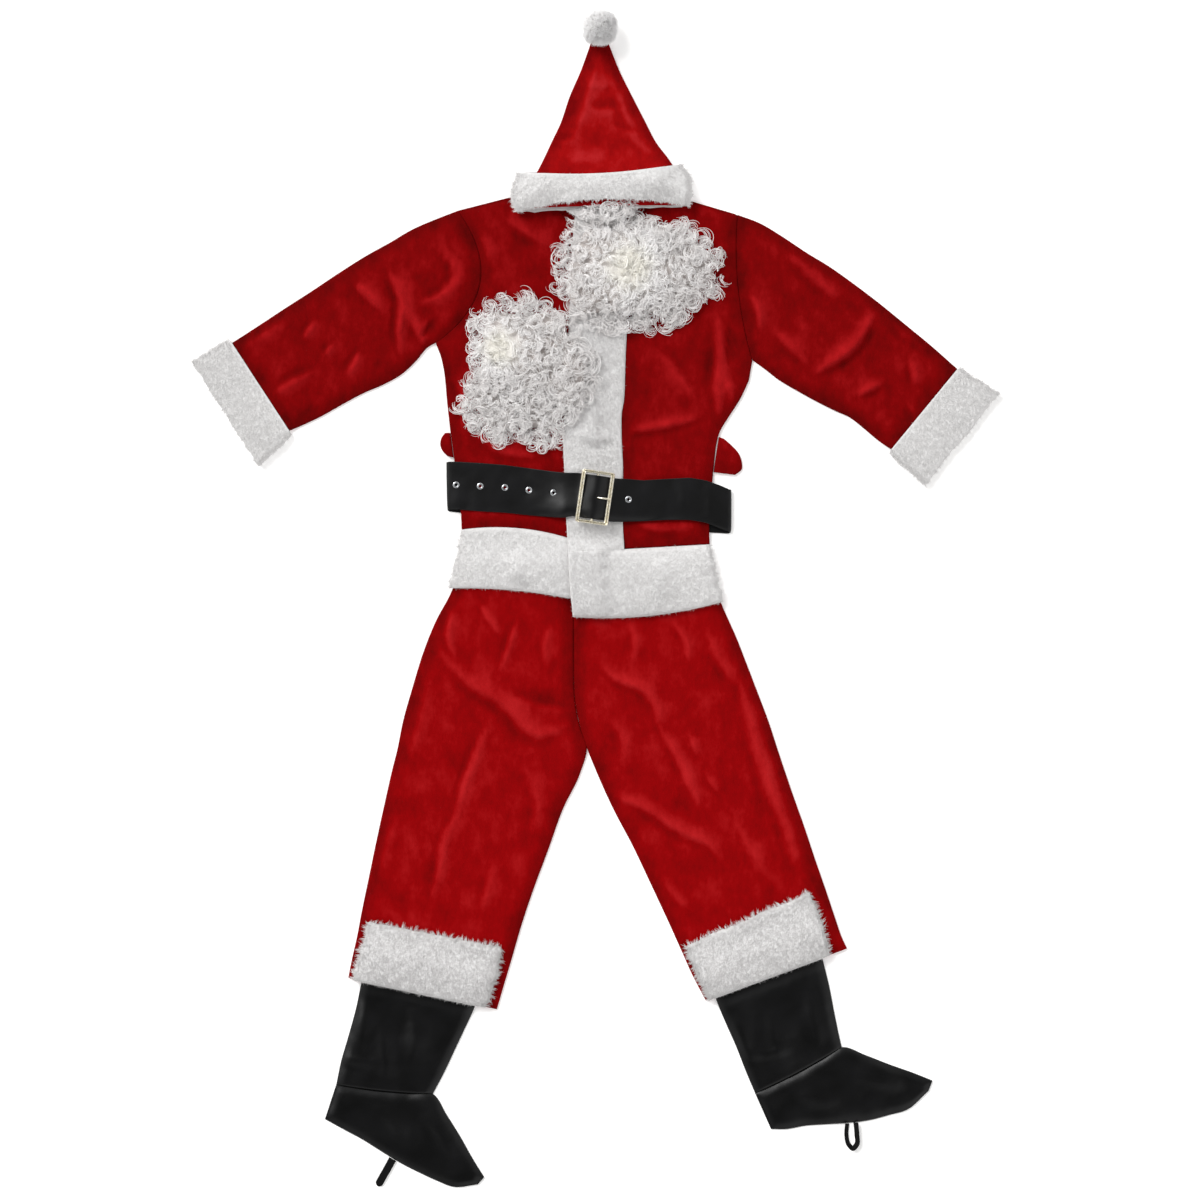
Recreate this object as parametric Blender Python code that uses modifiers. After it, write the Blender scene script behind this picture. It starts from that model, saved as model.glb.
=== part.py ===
"""A child's Santa suit laid out flat on its back.

The hat lies above the jacket, the jacket's sleeves are spread, the trousers' waist is tucked into
the jacket's hem and the boot covers into the trouser legs. A belt goes round the waist, and a curly
wig and beard lie on the chest.

Every piece of cloth is a net of points (sections by columns) seen from above. The pieces are laid
one after another: each comes to rest on the pile of what lies below it, and gets its own wall.
Sizes are in millimetres: +X is the wearer's left, +Y points to the hat, +Z is up, the floor is 0.
"right" and "left" in a name are the wearer's.
"""
from collections import namedtuple
from math import cos, pi, radians, sin

import bmesh
import bpy
import numpy as np
from mathutils import Matrix, Vector

MM = 0.001

# ---------------------------------------------------------------- driving sizes
SEAM = 0.3                # air left between two pieces
VELOUR = 2.2              # jacket, trouser and hat cloth with its nap
PLUSH = 8.0               # white trim: backing cloth and standing pile
PLUSH_PRESSED = 4.5       # the same trim where it lies underneath
PLUSH_EDGE = 4.0          # pile height at a trim's cut edge
VINYL = 1.6               # boot covers
BELT = 1.9                # belt strap
FOLD_INSET = 3.2          # the walls of a folded sheet end this far inside its outline
POMPOM_RADIUS = 27.0
BUCKLE = {"width": 50.0, "height": 80.0, "bar": 6.5, "end_bar": 5.0, "centre_bar": 4.0, "thick": 3.2,
          "tilt": -8.2, "edge": 0.8}
BUCKLE_CENTRE = (0.0, 152.0)
EYELET = {"flange": 5.0, "barrel": 2.8, "bore": 2.1, "thick": 0.8, "sides": 8}
EYELET_HOLE = 3.1
HOLE_DEPTH = 16.0
PRONG_RADIUS = 1.4
PRONG_SLOT = {"middle": 9.0, "long": 12.5, "wide": 4.2, "high": 12.0}
POMPOM_PLACE = (7.0, 853.5)
FLAT_ELASTIC = ((-303.4, -839.8), (-326, -881))          # right boot: from the sole to the loop's end
ELASTIC_PATH = (          # left boot: out from the sole and back
    (377, -786.2), (376, -804), (380, -819), (388, -825), (394, -817), (394, -802), (392, -784.5),
)
BEARD_SIZES = {"edge": 5.0, "middle": 24.0, "parting": 5.5, "lean": 20.0, "length": 20.0, "curl": 4.0,
               "half_width": 105.0, "turned": 0.6, "tip": 2.6}
WIG_SIZES = {"edge": 5.0, "middle": 28.0, "parting": 5.5, "lean": 20.0, "length": 22.0, "curl": 4.0,
             "half_width": 125.0, "turned": 2.2, "tip": 2.6}
ELASTIC = 1.4             # strap under a boot cover's sole
LOCK_STEPS = 4            # stretches in one lock of hair
DROOP = 0.1               # how much less the outermost locks rise

# The floor raster on which the pile is kept
CELL = 2.5
PILE_HALF_X = 640.0
PILE_HALF_Y = 910.0
DROP = 0.55               # how steeply cloth falls beside a step below it
DROP_CELLS = 7
SETTLE_ROUNDS = 120

Section = namedtuple("Section", "ax ay bx by bow", defaults=(0,))
JacketRow = namedtuple("JacketRow", "right_x right_y left_x left_y edge_r_x edge_r_y edge_l_x edge_l_y")
Crease = namedtuple("Crease", "x0 y0 x1 y1 width height")
LoopRow = namedtuple("LoopRow", "seam_y fold_x fold_y")

# ---------------------------------------------------------------- the pattern
# Sections run from edge a to edge b; bow is how far the middle stands off that line (to its left).
ARMHOLE_RIGHT = Section(-206, 582, -239, 384, 51)
ARMHOLE_LEFT = Section(214, 576, 236, 358, -10)
ARMHOLE_STEPS = 6

JACKET_TOP = [            # neck and shoulders
    JacketRow(-70, 614, 90, 614, -66, 608, 86, 608),
    JacketRow(-124, 603, 146, 596, -62, 590, 81, 590),
]
JACKET_EDGES = [          # front edges at the armhole's rows
    (-48, 576, 69, 574), (-22, 566, 48, 562), (4, 536, 48, 530), (4, 494, 48, 488),
    (4, 452, 48, 446), (4, 412, 48, 404), (4, 376, 46, 366),
]
JACKET_BODY = [           # side seams from armpit to hem band
    JacketRow(-231, 364, 231, 328, 4, 346, 45, 332),
    JacketRow(-226, 340, 219, 302, 3, 320, 44, 303),
    JacketRow(-222, 298, 200, 272, 2, 284, 40, 276),
    JacketRow(-218, 261, 186, 248, 0, 250, 40, 244),
    JacketRow(-212, 216, 178, 196, 0, 207, 42, 200),
    JacketRow(-206, 168, 174, 148, 2, 160, 42, 153),
    JacketRow(-201, 129, 171, 112, 3, 116, 42, 106),
    JacketRow(-200, 104, 172, 82, 6, 74, 44, 74.75),
]
HEM_BACK = [Section(-200, 104, 172, 82), Section(-207, 64, 180, 46), Section(-219, 18, 190, -4)]
HEM_RIGHT = [Section(-200, 104, 6, 74, 15), Section(-208, 60, 8, 32, 10), Section(-219, 16, 9, -10, 8)]
HEM_LEFT = [Section(-40, 70, 172, 82), Section(-38, 24, 182, 40, -4), Section(-33, -27, 192, -4, -10)]
PLACKET_TOP = Section(-28, 590, 48, 590)
PLACKET_FREE_EDGE = {     # height: how far the placket reaches over the other front
    562: -32, 494: -36, 404: -39, 321: -44, 234: -48, 194: -46, 134: -44, 70: -40,
}
COLLAR = [Section(-64, 598, 84, 602, -36), Section(-66, 615, 86, 618, -18), Section(-68, 632, 87, 634, -3)]
SLEEVE_RIGHT = [
    ARMHOLE_RIGHT, Section(-237, 570, -252, 376, 15), Section(-272, 555, -268, 357, 8),
    Section(-308, 534, -291, 336, 2), Section(-344, 514, -318, 321), Section(-382, 490, -346, 309),
    Section(-424, 462, -378, 292), Section(-466, 435, -410, 274), Section(-507, 408, -435, 262),
    Section(-544, 384, -458, 252),
]
SLEEVE_LEFT = [
    ARMHOLE_LEFT, Section(246, 564, 254, 345, -6), Section(280, 544, 276, 328, -3),
    Section(316, 520, 303, 312), Section(352, 498, 332, 296), Section(390, 471, 360, 282),
    Section(428, 442, 382, 272), Section(466, 411, 405, 254), Section(506, 378, 424, 238),
    Section(543, 345, 444, 224),
]
CUFF_RIGHT = [
    Section(-548, 390, -454, 246), Section(-566, 380, -465, 235), Section(-586, 369, -484, 218),
    Section(-605, 357, -504, 200),
]
CUFF_LEFT = [
    Section(546.5, 348.7, 440.5, 220.2), Section(562, 337, 453, 206), Section(586, 322, 474, 188),
    Section(606, 308, 494, 171),
]
LEG_RIGHT = [             # outer side fold, then centre seam and inseam
    Section(-200, 50, -32, 50), Section(-208, 28, -32, 21), Section(-219, 3, -32, -20),
    Section(-238, -32, -32, -62), Section(-256, -76, -32, -104), Section(-274, -134, -30, -152),
    Section(-288, -184, -22, -194), Section(-296, -224, -12, -224), Section(-304, -256, -22, -261),
    Section(-316, -309, -48, -315), Section(-328, -364, -70, -376), Section(-339, -417, -92, -435),
    Section(-350, -470, -111, -492), Section(-357, -507, -124, -537), Section(-364, -538, -135, -574),
    Section(-370, -568, -147, -615),
]
LEG_LEFT = [
    Section(176, 50, -32, 50), Section(180, 21, -32, 21), Section(190, -8, -32, -20),
    Section(212, -58, -32, -62), Section(228, -99, -32, -104), Section(246, -146, -30, -152),
    Section(261, -186, -22, -194), Section(274, -226, -12, -224), Section(282, -250, 6, -268),
    Section(297, -294, 28, -316), Section(314, -342, 56, -369), Section(330, -390, 84, -428),
    Section(348, -442, 111, -486), Section(360, -478, 129, -526), Section(370, -507, 147, -566),
    Section(378, -524, 166, -602),
]
LEG_BAND_RIGHT = [
    Section(-338, -484, -141, -522), Section(-351, -528, -148, -570), Section(-362, -571, -165, -612),
]
LEG_BAND_LEFT = [
    Section(321, -440, 135, -520), Section(339, -484, 153, -564), Section(352, -534, 171, -601),
]
HAT = [
    Section(-5, 836.8, 19, 836.6), Section(-22, 790, 38, 789), Section(-38, 753, 56, 753),
    Section(-52, 712, 75, 716), Section(-64, 687, 90, 687), Section(-81, 650, 111, 658),
    Section(-100, 614, 132, 621), Section(-110, 585, 138, 590),
]
HAT_FRONT_BOW = 10        # the front edge of the brim arches up
HAT_BAND_UNDER = [
    Section(-117, 639, 129, 651), Section(-124, 620, 142, 634), Section(-126, 598, 146, 614),
    Section(-118, 579, 142, 588),
]
HAT_BAND_OVER = [row._replace(bow=bow) for row, bow in zip(HAT_BAND_UNDER, (0, 4, 9, 14))]
SHAFT_RIGHT = [           # boot shaft from its top edge, inside the trouser leg, to the ankle
    Section(-338, -536, -168, -576), Section(-350, -574, -182, -616), Section(-358, -612, -194, -642),
    Section(-370, -656, -210, -676), Section(-381, -694, -226, -710), Section(-388, -728, -243, -742, -3),
]
FOOT_RIGHT = [            # ankle seam or instep, then sole edge, from heel to toe
    Section(-388, -728.6, -405, -780), Section(-352, -736, -378, -795), Section(-315, -741, -350, -810),
    Section(-278, -744, -318, -830), Section(-242, -743, -288, -848), Section(-222, -774, -260, -862),
    Section(-202, -806, -236, -873), Section(-184, -838, -210, -882), Section(-166, -867, -176, -878),
]
SHAFT_LEFT = [
    Section(170, -564, 333, -502), Section(182, -602, 342, -542), Section(196, -636, 351, -579),
    Section(212, -672, 358, -615), Section(226, -708, 364, -645), Section(240, -741, 370, -672, -3),
]
FOOT_LEFT = [
    Section(240, -741.6, 264, -795), Section(273, -729, 288, -795), Section(306, -714, 316, -790),
    Section(339, -695, 346, -788), Section(370, -673, 376, -786), Section(406, -684, 410, -782),
    Section(442, -698, 441, -774), Section(476, -710, 470, -765), Section(506, -722, 500, -738),
]
LOOP_RIGHT = [            # belt loops: height on the side seam, then the folded edge
    LoopRow(249, -225, 249), LoopRow(242, -230, 242), LoopRow(231, -232, 231), LoopRow(220, -228, 221),
    LoopRow(212, -221, 214),
]
LOOP_LEFT = [
    LoopRow(243, 194, 240), LoopRow(234, 204, 231), LoopRow(222, 215, 219), LoopRow(208, 220, 206),
    LoopRow(198, 220, 194), LoopRow(190, 210, 186),
]
BELT_RIGHT = [            # top and bottom edge of the strap from its fold to the buckle
    Section(-218, 206, -218, 134), Section(-208, 206, -208, 134), Section(-172, 204, -172, 131),
    Section(-135, 201, -135, 129), Section(-98, 196, -98, 125), Section(-62, 191, -64, 122),
    Section(-42, 189, -48, 121),
]
BELT_LEFT = [             # and from the buckle to its other fold
    Section(48, 180, 42, 115), Section(72, 178, 70, 116), Section(105, 180, 105, 118),
    Section(142, 182, 142, 118), Section(166, 178, 166, 114), Section(186, 171, 186, 106),
    Section(200, 165, 200, 101),
]
BELT_BACK = [
    Section(200, 162, 200, 98), Section(60, 174, 60, 106), Section(-100, 190, -100, 119),
    Section(-218, 203, -218, 131),
]
BELT_AT_BUCKLE = (-30, -22, -16, -5, 0, 5, 16, 22, 30)   # rows beside and under the buckle's bars
BELT_END_AT_BUCKLE = (-8, 8, 20, 30)                     # the strap's other end, below
BELT_NECK = 66.0                                         # strap width inside the buckle
EYELETS = [(-208, 171), (-172, 169), (-135, 167), (-99, 163), (-62, 159), (50, 149)]
WIG = [
    Section(-14, 562, 122, 560), Section(-30, 544, 156, 541), Section(-42, 518, 178, 518),
    Section(-50, 488, 184, 492), Section(-54, 462, 174, 466), Section(-40, 436, 148, 442),
    Section(-22, 418, 114, 422),
]
BEARD = [
    Section(-160, 440, -68, 436), Section(-174, 416, -48, 420), Section(-178, 386, -26, 392),
    Section(-170, 352, -8, 358), Section(-180, 322, -6, 324), Section(-188, 290, -18, 296),
    Section(-174, 264, -42, 268), Section(-154, 244, -60, 246),
]

# Folds: soft ridges (height above 0) and troughs (below 0) from one point to another
SLEEVE_CREASES = [
    Crease(-310, 490, -292, 405, 14, 3.5), Crease(-292, 405, -262, 365, 12, 2.5),
    Crease(-225, 520, -222, 455, 16, 3.0), Crease(-222, 455, -282, 440, 14, 2.5),
    Crease(-228, 415, -226, 395, 12, -2.5), Crease(-376, 475, -322, 436, 15, 2.5),
    Crease(-420, 425, -438, 362, 14, 2.5), Crease(-488, 308, -396, 340, 15, 3.0),
    Crease(236, 450, 243, 400, 14, 3.0), Crease(338, 350, 412, 412, 17, 3.5),
    Crease(390, 306, 427, 330, 13, 2.5), Crease(290, 500, 372, 440, 18, 2.0),
]
JACKET_CREASES = [
    Crease(-190, 560, -165, 470, 14, 3.0), Crease(-175, 540, -60, 500, 18, 2.5),
    Crease(-215, 430, -208, 395, 12, 3.0), Crease(-214, 370, -206, 280, 12, 2.5),
    Crease(58, 246, 158, 268, 14, 2.5), Crease(190, 380, 196, 300, 13, 3.0),
    Crease(150, 400, 140, 230, 15, 2.0), Crease(-150, 260, -90, 230, 14, 2.0),
]
LEG_CREASES = [
    Crease(-158, -182, -192, -287, 11, 3.0), Crease(-192, -287, -245, -452, 11, 3.0),
    Crease(-225, -85, -172, -150, 20, 3.5), Crease(-172, -150, -82, -205, 20, 3.5),
    Crease(-128, -145, -45, -165, 18, -3.0), Crease(-212, -10, -206, -92, 10, 3.0),
    Crease(-172, -8, -142, -55, 10, 2.5), Crease(-116, -30, -142, -105, 10, 3.0),
    Crease(-70, -40, -82, -100, 10, 2.5), Crease(8, -98, 90, -160, 14, 3.0),
    Crease(90, -160, 128, -242, 14, 3.0), Crease(22, -294, 125, -335, 16, 3.0),
    Crease(125, -335, 195, -400, 16, 2.5), Crease(218, -122, 248, -242, 18, 3.0),
    Crease(248, -242, 307, -420, 18, 2.5), Crease(60, -40, 70, -100, 10, 2.5),
    Crease(130, -40, 142, -90, 10, 2.5), Crease(-300, -330, -320, -420, 16, 2.0),
]
HAT_CREASES = [Crease(0, 800, -30, 680, 12, 2.0), Crease(25, 780, 62, 680, 12, 2.0)]
FLAT = []

WALL_COLUMNS = (0, 0.08, 0.3, 0.5, 0.7, 0.92, 1)
LEG_UPPER_COLUMNS = (0, 0.06, 0.2, 0.36, 0.52, 0.68, 0.84, 1)
LEG_LOWER_COLUMNS = (0, 0.1, 0.5, 1)
ARMHOLE_COLUMNS = tuple(step / ARMHOLE_STEPS for step in range(ARMHOLE_STEPS + 1))
TRIM_COLUMNS = (0, 0.06, 0.28, 0.5, 0.72, 0.94, 1)
PLACKET_COLUMNS = (0, 0.12, 0.5, 0.88, 1)
SHAFT_COLUMNS = (0, 0.25, 0.5, 0.75, 1)
LOOP_COLUMNS = (0, 0.6, 1)
BELT_COLUMNS = (0, 0.25, 0.5, 0.75, 1)
BEARD_COLUMNS = tuple(k / 7 for k in range(8))
WIG_COLUMNS = tuple(k / 9 for k in range(10))

COLOURS = {               # base colour, roughness, metallic
    "velour": ((0.33, 0.004, 0.008), 0.62, 0.0),
    "plush": ((0.78, 0.76, 0.74), 0.9, 0.0),
    "vinyl": ((0.012, 0.012, 0.014), 0.42, 0.0),
    "belt": ((0.014, 0.014, 0.016), 0.38, 0.0),
    "plated": ((0.62, 0.52, 0.36), 0.24, 1.0),
    "eyelet": ((0.6, 0.6, 0.6), 0.25, 1.0),
    "elastic": ((0.015, 0.015, 0.016), 0.8, 0.0),
    "curls": ((0.82, 0.8, 0.77), 0.5, 0.0),
}


# ---------------------------------------------------------------- nets of points
def point_on(section, share):
    """The point at a share of the way along a section, on its bow."""
    start = np.array([section.ax, section.ay], float)
    along = np.array([section.bx, section.by], float) - start
    normal = np.array([-along[1], along[0]]) / np.hypot(*along)
    return start + along * share + normal * section.bow * 4 * share * (1 - share)


def other_way(sections):
    """The same sections from edge b to edge a."""
    return [Section(row.bx, row.by, row.ax, row.ay, -row.bow) for row in sections]


def net_of(sections, columns, inset_a=0.0, inset_b=0.0):
    """Sections by columns of points; the ends may stand in from the outline."""
    net = np.array([[point_on(row, share) for share in columns] for row in sections])
    from_a, from_b = inward_at(net, 0), inward_at(net, -1)
    net[:, 0] += from_a * inset_a
    net[:, -1] += from_b * inset_b
    return net


def inward_at(net, end):
    """Which way each section runs inwards from one of its ends."""
    inward = net[:, 1] - net[:, 0] if end == 0 else net[:, -2] - net[:, -1]
    return inward / np.linalg.norm(inward, axis=1, keepdims=True)


def drawn_in(net, distance=SEAM / 2):
    """The net with its outline moved inwards, which leaves the air of a seam."""
    rows, columns = net.shape[:2]
    loop = [(0, j) for j in range(columns)] + [(i, columns - 1) for i in range(1, rows)]
    loop += [(rows - 1, j) for j in range(columns - 2, -1, -1)] + [(i, 0) for i in range(rows - 2, 0, -1)]
    outline = np.array([net[i, j] for i, j in loop])
    ahead = np.roll(outline, -1, axis=0) - outline
    ahead /= np.linalg.norm(ahead, axis=1, keepdims=True)
    behind = np.roll(ahead, 1, axis=0)
    area = np.sum(outline[:, 0] * np.roll(outline[:, 1], -1) - outline[:, 1] * np.roll(outline[:, 0], -1))
    turn = 1.0 if area > 0 else -1.0
    inward = turn * (np.stack([-ahead[:, 1], ahead[:, 0]], 1) + np.stack([-behind[:, 1], behind[:, 0]], 1))
    inward /= np.maximum(np.sum(inward * inward, axis=1, keepdims=True) / 2, 0.35)
    moved = net.copy()
    for (i, j), shift in zip(loop, inward):
        moved[i, j] += shift * distance
    return moved


def spots(net, spacing=1.9):
    """Spots all over a net's triangles: their places, corner numbers and weights."""
    rows, columns = net.shape[:2]
    flat = net.reshape(-1, 2)
    i, j = np.meshgrid(np.arange(rows - 1), np.arange(columns - 1), indexing="ij")
    corner = np.stack([i * columns + j, (i + 1) * columns + j, (i + 1) * columns + j + 1,
                       i * columns + j + 1], -1).reshape(-1, 4)
    sides = flat[corner] - flat[np.roll(corner, 1, axis=1)]
    count = int(np.ceil(np.linalg.norm(sides, axis=2).max() / spacing)) + 1
    s, t = (v.ravel() for v in np.meshgrid(np.linspace(0, 1, count), np.linspace(0, 1, count)))
    weight = np.stack([1 - np.maximum(s, t), np.maximum(s - t, 0), np.minimum(s, t),
                       np.maximum(t - s, 0)], -1)
    place = np.einsum("kc,qcd->qkd", weight, flat[corner]).reshape(-1, 2)
    corners = np.repeat(corner, len(weight), axis=0)
    weights = np.tile(weight, (len(corner), 1))
    return place, corners, weights


def folds(place, creases, crown=0.0):
    """Height of the soft folds at each place: bell-shaped across, and fading at both ends."""
    lift = np.full(len(place), float(crown))
    for crease in creases:
        start = np.array([crease.x0, crease.y0], float)
        along = np.array([crease.x1, crease.y1], float) - start
        length = np.hypot(*along)
        along /= length
        ahead = (place - start) @ along
        aside = (place - start) @ np.array([-along[1], along[0]])
        beyond = np.maximum(np.maximum(-ahead, ahead - length), 0)
        lift += crease.height * np.exp(-(aside ** 2 + beyond ** 2) / crease.width ** 2)
    return np.maximum(lift, 0)


class Pile:
    """The height of all that lies so far, on a square raster over the floor."""

    def __init__(self):
        self.size = (int(2 * PILE_HALF_X / CELL), int(2 * PILE_HALF_Y / CELL))
        self.top = np.zeros(self.size)
        self.layer = np.zeros(self.size)

    def cells(self, place):
        """Raster numbers of the places."""
        i = ((place[:, 0] + PILE_HALF_X) / CELL).astype(int)
        j = ((place[:, 1] + PILE_HALF_Y) / CELL).astype(int)
        return np.clip(i, 0, self.size[0] - 1), np.clip(j, 0, self.size[1] - 1)

    def cover(self, net, top):
        """Adds a sheet whose upper side is at top to the layer that is being laid."""
        place, corners, weights = spots(net)
        height = np.sum(top.ravel()[corners] * weights, axis=1)
        np.maximum.at(self.layer, self.cells(place), height)

    def close_layer(self):
        """The layer is done: what comes next rests on it. Pieces in one layer meet edge to edge."""
        self.top = np.maximum(self.top, self.layer)

    def top_near(self, x, y, radius):
        """The highest point of the pile within a radius of a place."""
        i, j = self.cells(np.array([[x - radius, y - radius], [x + radius, y + radius]]))
        return float(self.top[i[0]:i[1] + 1, j[0]:j[1] + 1].max())

    def reach(self):
        """The pile within one cell, falling off at a slope beside each step."""
        near = self.top.copy()
        for round_number in range(DROP_CELLS):
            fall = 0 if round_number == 0 else DROP * CELL
            for axis in (0, 1):
                for step in (1, -1):
                    near = np.maximum(near, np.roll(near, step, axis) - fall)
        return near

    def rest(self, net, creases=FLAT, crown=0.0, margin=None):
        """Heights at which a sheet's underside rests on the pile, folds and all."""
        place, corners, weights = spots(net)
        below = self.reach()[self.cells(place)]
        lift = folds(place, creases, crown)
        if margin is not None:
            lift = lift * np.clip(np.sum(margin.ravel()[corners] * weights, axis=1), 0, 1)
        need = np.where(below > 0.01, below + SEAM, 0) + lift
        height = np.zeros(net.shape[0] * net.shape[1])
        limit = np.zeros_like(height)           # no corner needs to lie above all that is near it
        np.maximum.at(limit, corners, np.repeat(need[:, None], 4, axis=1))
        for _ in range(SETTLE_ROUNDS):
            short = np.maximum(need - np.sum(height[corners] * weights, axis=1), 0)
            if short.max() < 0.01:
                break
            free = weights * (height[corners] < limit[corners] - 1e-6)
            share = short[:, None] * free / np.maximum(free.max(axis=1, keepdims=True), 1e-9)
            rise = np.zeros_like(height)
            np.maximum.at(rise, corners, share)
            height = np.minimum(height + rise, limit)
        return (height + 0.01 * (height > 0)).reshape(net.shape[:2])


# ---------------------------------------------------------------- solids
def finish(name):
    """The named finish as a material."""
    colour, roughness, metallic = COLOURS[name]
    made = bpy.data.materials.get(name)
    if made is None:
        made = bpy.data.materials.new(name)
        made.use_nodes = True
        shader = made.node_tree.nodes["Principled BSDF"]
        shader.inputs["Base Color"].default_value = (*colour, 1)
        shader.inputs["Roughness"].default_value = roughness
        shader.inputs["Metallic"].default_value = metallic
        made.diffuse_color = (*colour, 1)
    return made


def put(name, mesh, material, collection):
    """An object for a mesh, in its collection and finish."""
    made = bpy.data.objects.new(name, mesh)
    own = finish(material).copy()
    own.name = name + "_finish"
    mesh.materials.clear()
    mesh.materials.append(own)
    collection.objects.link(made)
    return made


def solid(name, outer, inner, material, collection, ring=False, mirrored=()):
    """A wall between two grids of points; ring closes each section on itself.

    The mirrored columns were laid the other way round, so their diagonals run the other way too.
    """
    rows, columns = outer.shape[:2]
    points = np.concatenate([outer.reshape(-1, 3), inner.reshape(-1, 3)]) * MM
    offset = rows * columns
    across = columns if ring else columns - 1
    faces = []

    def side(a, b, c, d):
        faces.extend([(a, b, c), (a, c, d)])

    for i in range(rows - 1):
        for j in range(across):
            a, d = i * columns + j, i * columns + (j + 1) % columns
            b, c = a + columns, d + columns
            corners = (b, c, d, a) if j in mirrored else (a, b, c, d)
            side(*corners)
            side(*(offset + corner for corner in (corners[0], *corners[:0:-1])))
    for i in (0, rows - 1):
        for j in range(across):
            a, d = i * columns + j, i * columns + (j + 1) % columns
            side(*((a, d, offset + d, offset + a) if i == 0 else (a, offset + a, offset + d, d)))
    if not ring:
        for i in range(rows - 1):
            for j in (0, columns - 1):
                a, b = i * columns + j, (i + 1) * columns + j
                side(*((a, offset + a, offset + b, b) if j == 0 else (a, b, offset + b, offset + a)))
    mesh = bpy.data.meshes.new(name)
    mesh.from_pydata(points.tolist(), [], faces)
    work = bmesh.new()
    work.from_mesh(mesh)
    bmesh.ops.recalc_face_normals(work, faces=work.faces)
    work.to_mesh(mesh)
    work.free()
    return put(name, mesh, material, collection)


def raised(net, height):
    """Net points with their heights as a third column."""
    return np.dstack([net, np.broadcast_to(height, net.shape[:2])])


def pile_depth(net, middle, edge):
    """Plush is thick in the middle and thinner at its cut edges."""
    depth = np.full(net.shape[:2], float(middle))
    depth[0] = depth[-1] = edge
    depth[:, 0] = depth[:, -1] = edge
    return depth


def lay_sheet(name, sections, columns, pile, material, collection, wall, creases=FLAT, crown=0.0):
    """A single sheet: it rests on the pile, and its upper side stands its wall above."""
    net = drawn_in(net_of(sections, columns))
    edge_free = np.zeros(net.shape[:2])
    edge_free[1:-1, 1:-1] = 1
    under = pile.rest(net, creases, crown, edge_free)
    depth = pile_depth(net, *wall) if isinstance(wall, tuple) else wall
    solid(name, raised(net, under + depth), raised(net, under), material, collection)
    pile.cover(net, under + depth)


class Folded:
    """A sheet folded round one or both sides: a lower wall, an upper wall and what joins them."""

    def __init__(self, name, sections, lower_columns, upper_columns, both, sections_over=None):
        self.name = name
        self.both = both
        inset_b = FOLD_INSET if both else 0.0
        self.lower = net_of(sections, lower_columns, FOLD_INSET, inset_b)
        self.upper = net_of(sections_over or sections, upper_columns, FOLD_INSET, inset_b)
        self.lower = drawn_in(self.lower)
        self.upper = drawn_in(self.upper)

    def lay_lower(self, pile, depth):
        """Lays the lower wall."""
        self.low_under = pile.rest(self.lower)
        self.low_top = self.low_under + depth
        pile.cover(self.lower, self.low_top)

    def lay_upper(self, pile, depth, creases=FLAT, crown=0.0, edge=None):
        """Lays the upper wall; its edges come down to the fold."""
        middle = np.zeros(self.upper.shape[:2])
        middle[:, 1:-1 if self.both else None] = 1
        self.high_under = pile.rest(self.upper, creases, crown, middle)
        depth = depth if edge is None else pile_depth(self.upper, depth, edge)
        self.high_top = self.high_under + depth
        pile.cover(self.upper, self.high_top)

    def ends(self, first):
        """Outer and inner points of the fold at one side of the sheet."""
        j = 0 if first else -1
        edge = (self.upper[:, j] + self.lower[:, j]) / 2
        inward = inward_at(self.upper, j)
        outer = edge - inward * (FOLD_INSET - SEAM / 2)
        inner = edge - inward * FOLD_INSET / 3
        low, high = self.low_under[:, j], self.high_top[:, j]
        inside = (self.low_top[:, j] + self.high_under[:, j]) / 2
        third = (high - low) / 3
        outers = [np.column_stack([outer, low + third]), np.column_stack([outer, high - third])]
        inners = [np.column_stack([inner, inside - 0.05]), np.column_stack([inner, inside + 0.05])]
        return outers, inners

    def build(self, material, collection):
        """Makes the wall's solid: round the ring from the lower wall to the upper."""
        outer = [raised(self.lower, self.low_under)]
        inner = [raised(self.lower, self.low_top)]
        if not self.both:                       # start at the open side, go round the fold at a
            outer[0], inner[0] = outer[0][:, ::-1], inner[0][:, ::-1]
            fold_out, fold_in = self.ends(True)
            high_out, high_in = raised(self.upper, self.high_top), raised(self.upper, self.high_under)
            mirrored = range(self.lower.shape[1] - 1)
        else:                                   # round b, back over the upper wall, round a
            fold_out, fold_in = self.ends(False)
            high_out = raised(self.upper, self.high_top)[:, ::-1]
            high_in = raised(self.upper, self.high_under)[:, ::-1]
            upper_first = self.lower.shape[1] + len(fold_out)
            mirrored = range(upper_first, upper_first + self.upper.shape[1] - 1)
        outer += [p[:, None] for p in fold_out] + [high_out]
        inner += [p[:, None] for p in fold_in] + [high_in]
        if self.both:
            fold_out, fold_in = self.ends(True)
            outer += [p[:, None] for p in reversed(fold_out)]
            inner += [p[:, None] for p in reversed(fold_in)]
        solid(self.name, np.concatenate(outer, 1), np.concatenate(inner, 1), material, collection,
              ring=self.both, mirrored=mirrored)


def lay_folded(name, sections, columns, pile, material, collection, depths, both=True, crown=0.0):
    """A folded sheet laid in one go, lower wall first."""
    sheet = Folded(name, sections, columns, columns, both)
    sheet.lay_lower(pile, depths[0])
    pile.close_layer()
    sheet.lay_upper(pile, depths[1], FLAT, crown)
    sheet.build(material, collection)


# ---------------------------------------------------------------- jacket
def jacket_rows():
    """All rows of the jacket: neck and shoulders, armholes, side seams."""
    rows = list(JACKET_TOP)
    for step, edges in enumerate(JACKET_EDGES):
        share = step / ARMHOLE_STEPS
        rows.append(JacketRow(*point_on(ARMHOLE_RIGHT, share), *point_on(ARMHOLE_LEFT, share), *edges))
    return rows + JACKET_BODY


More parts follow.
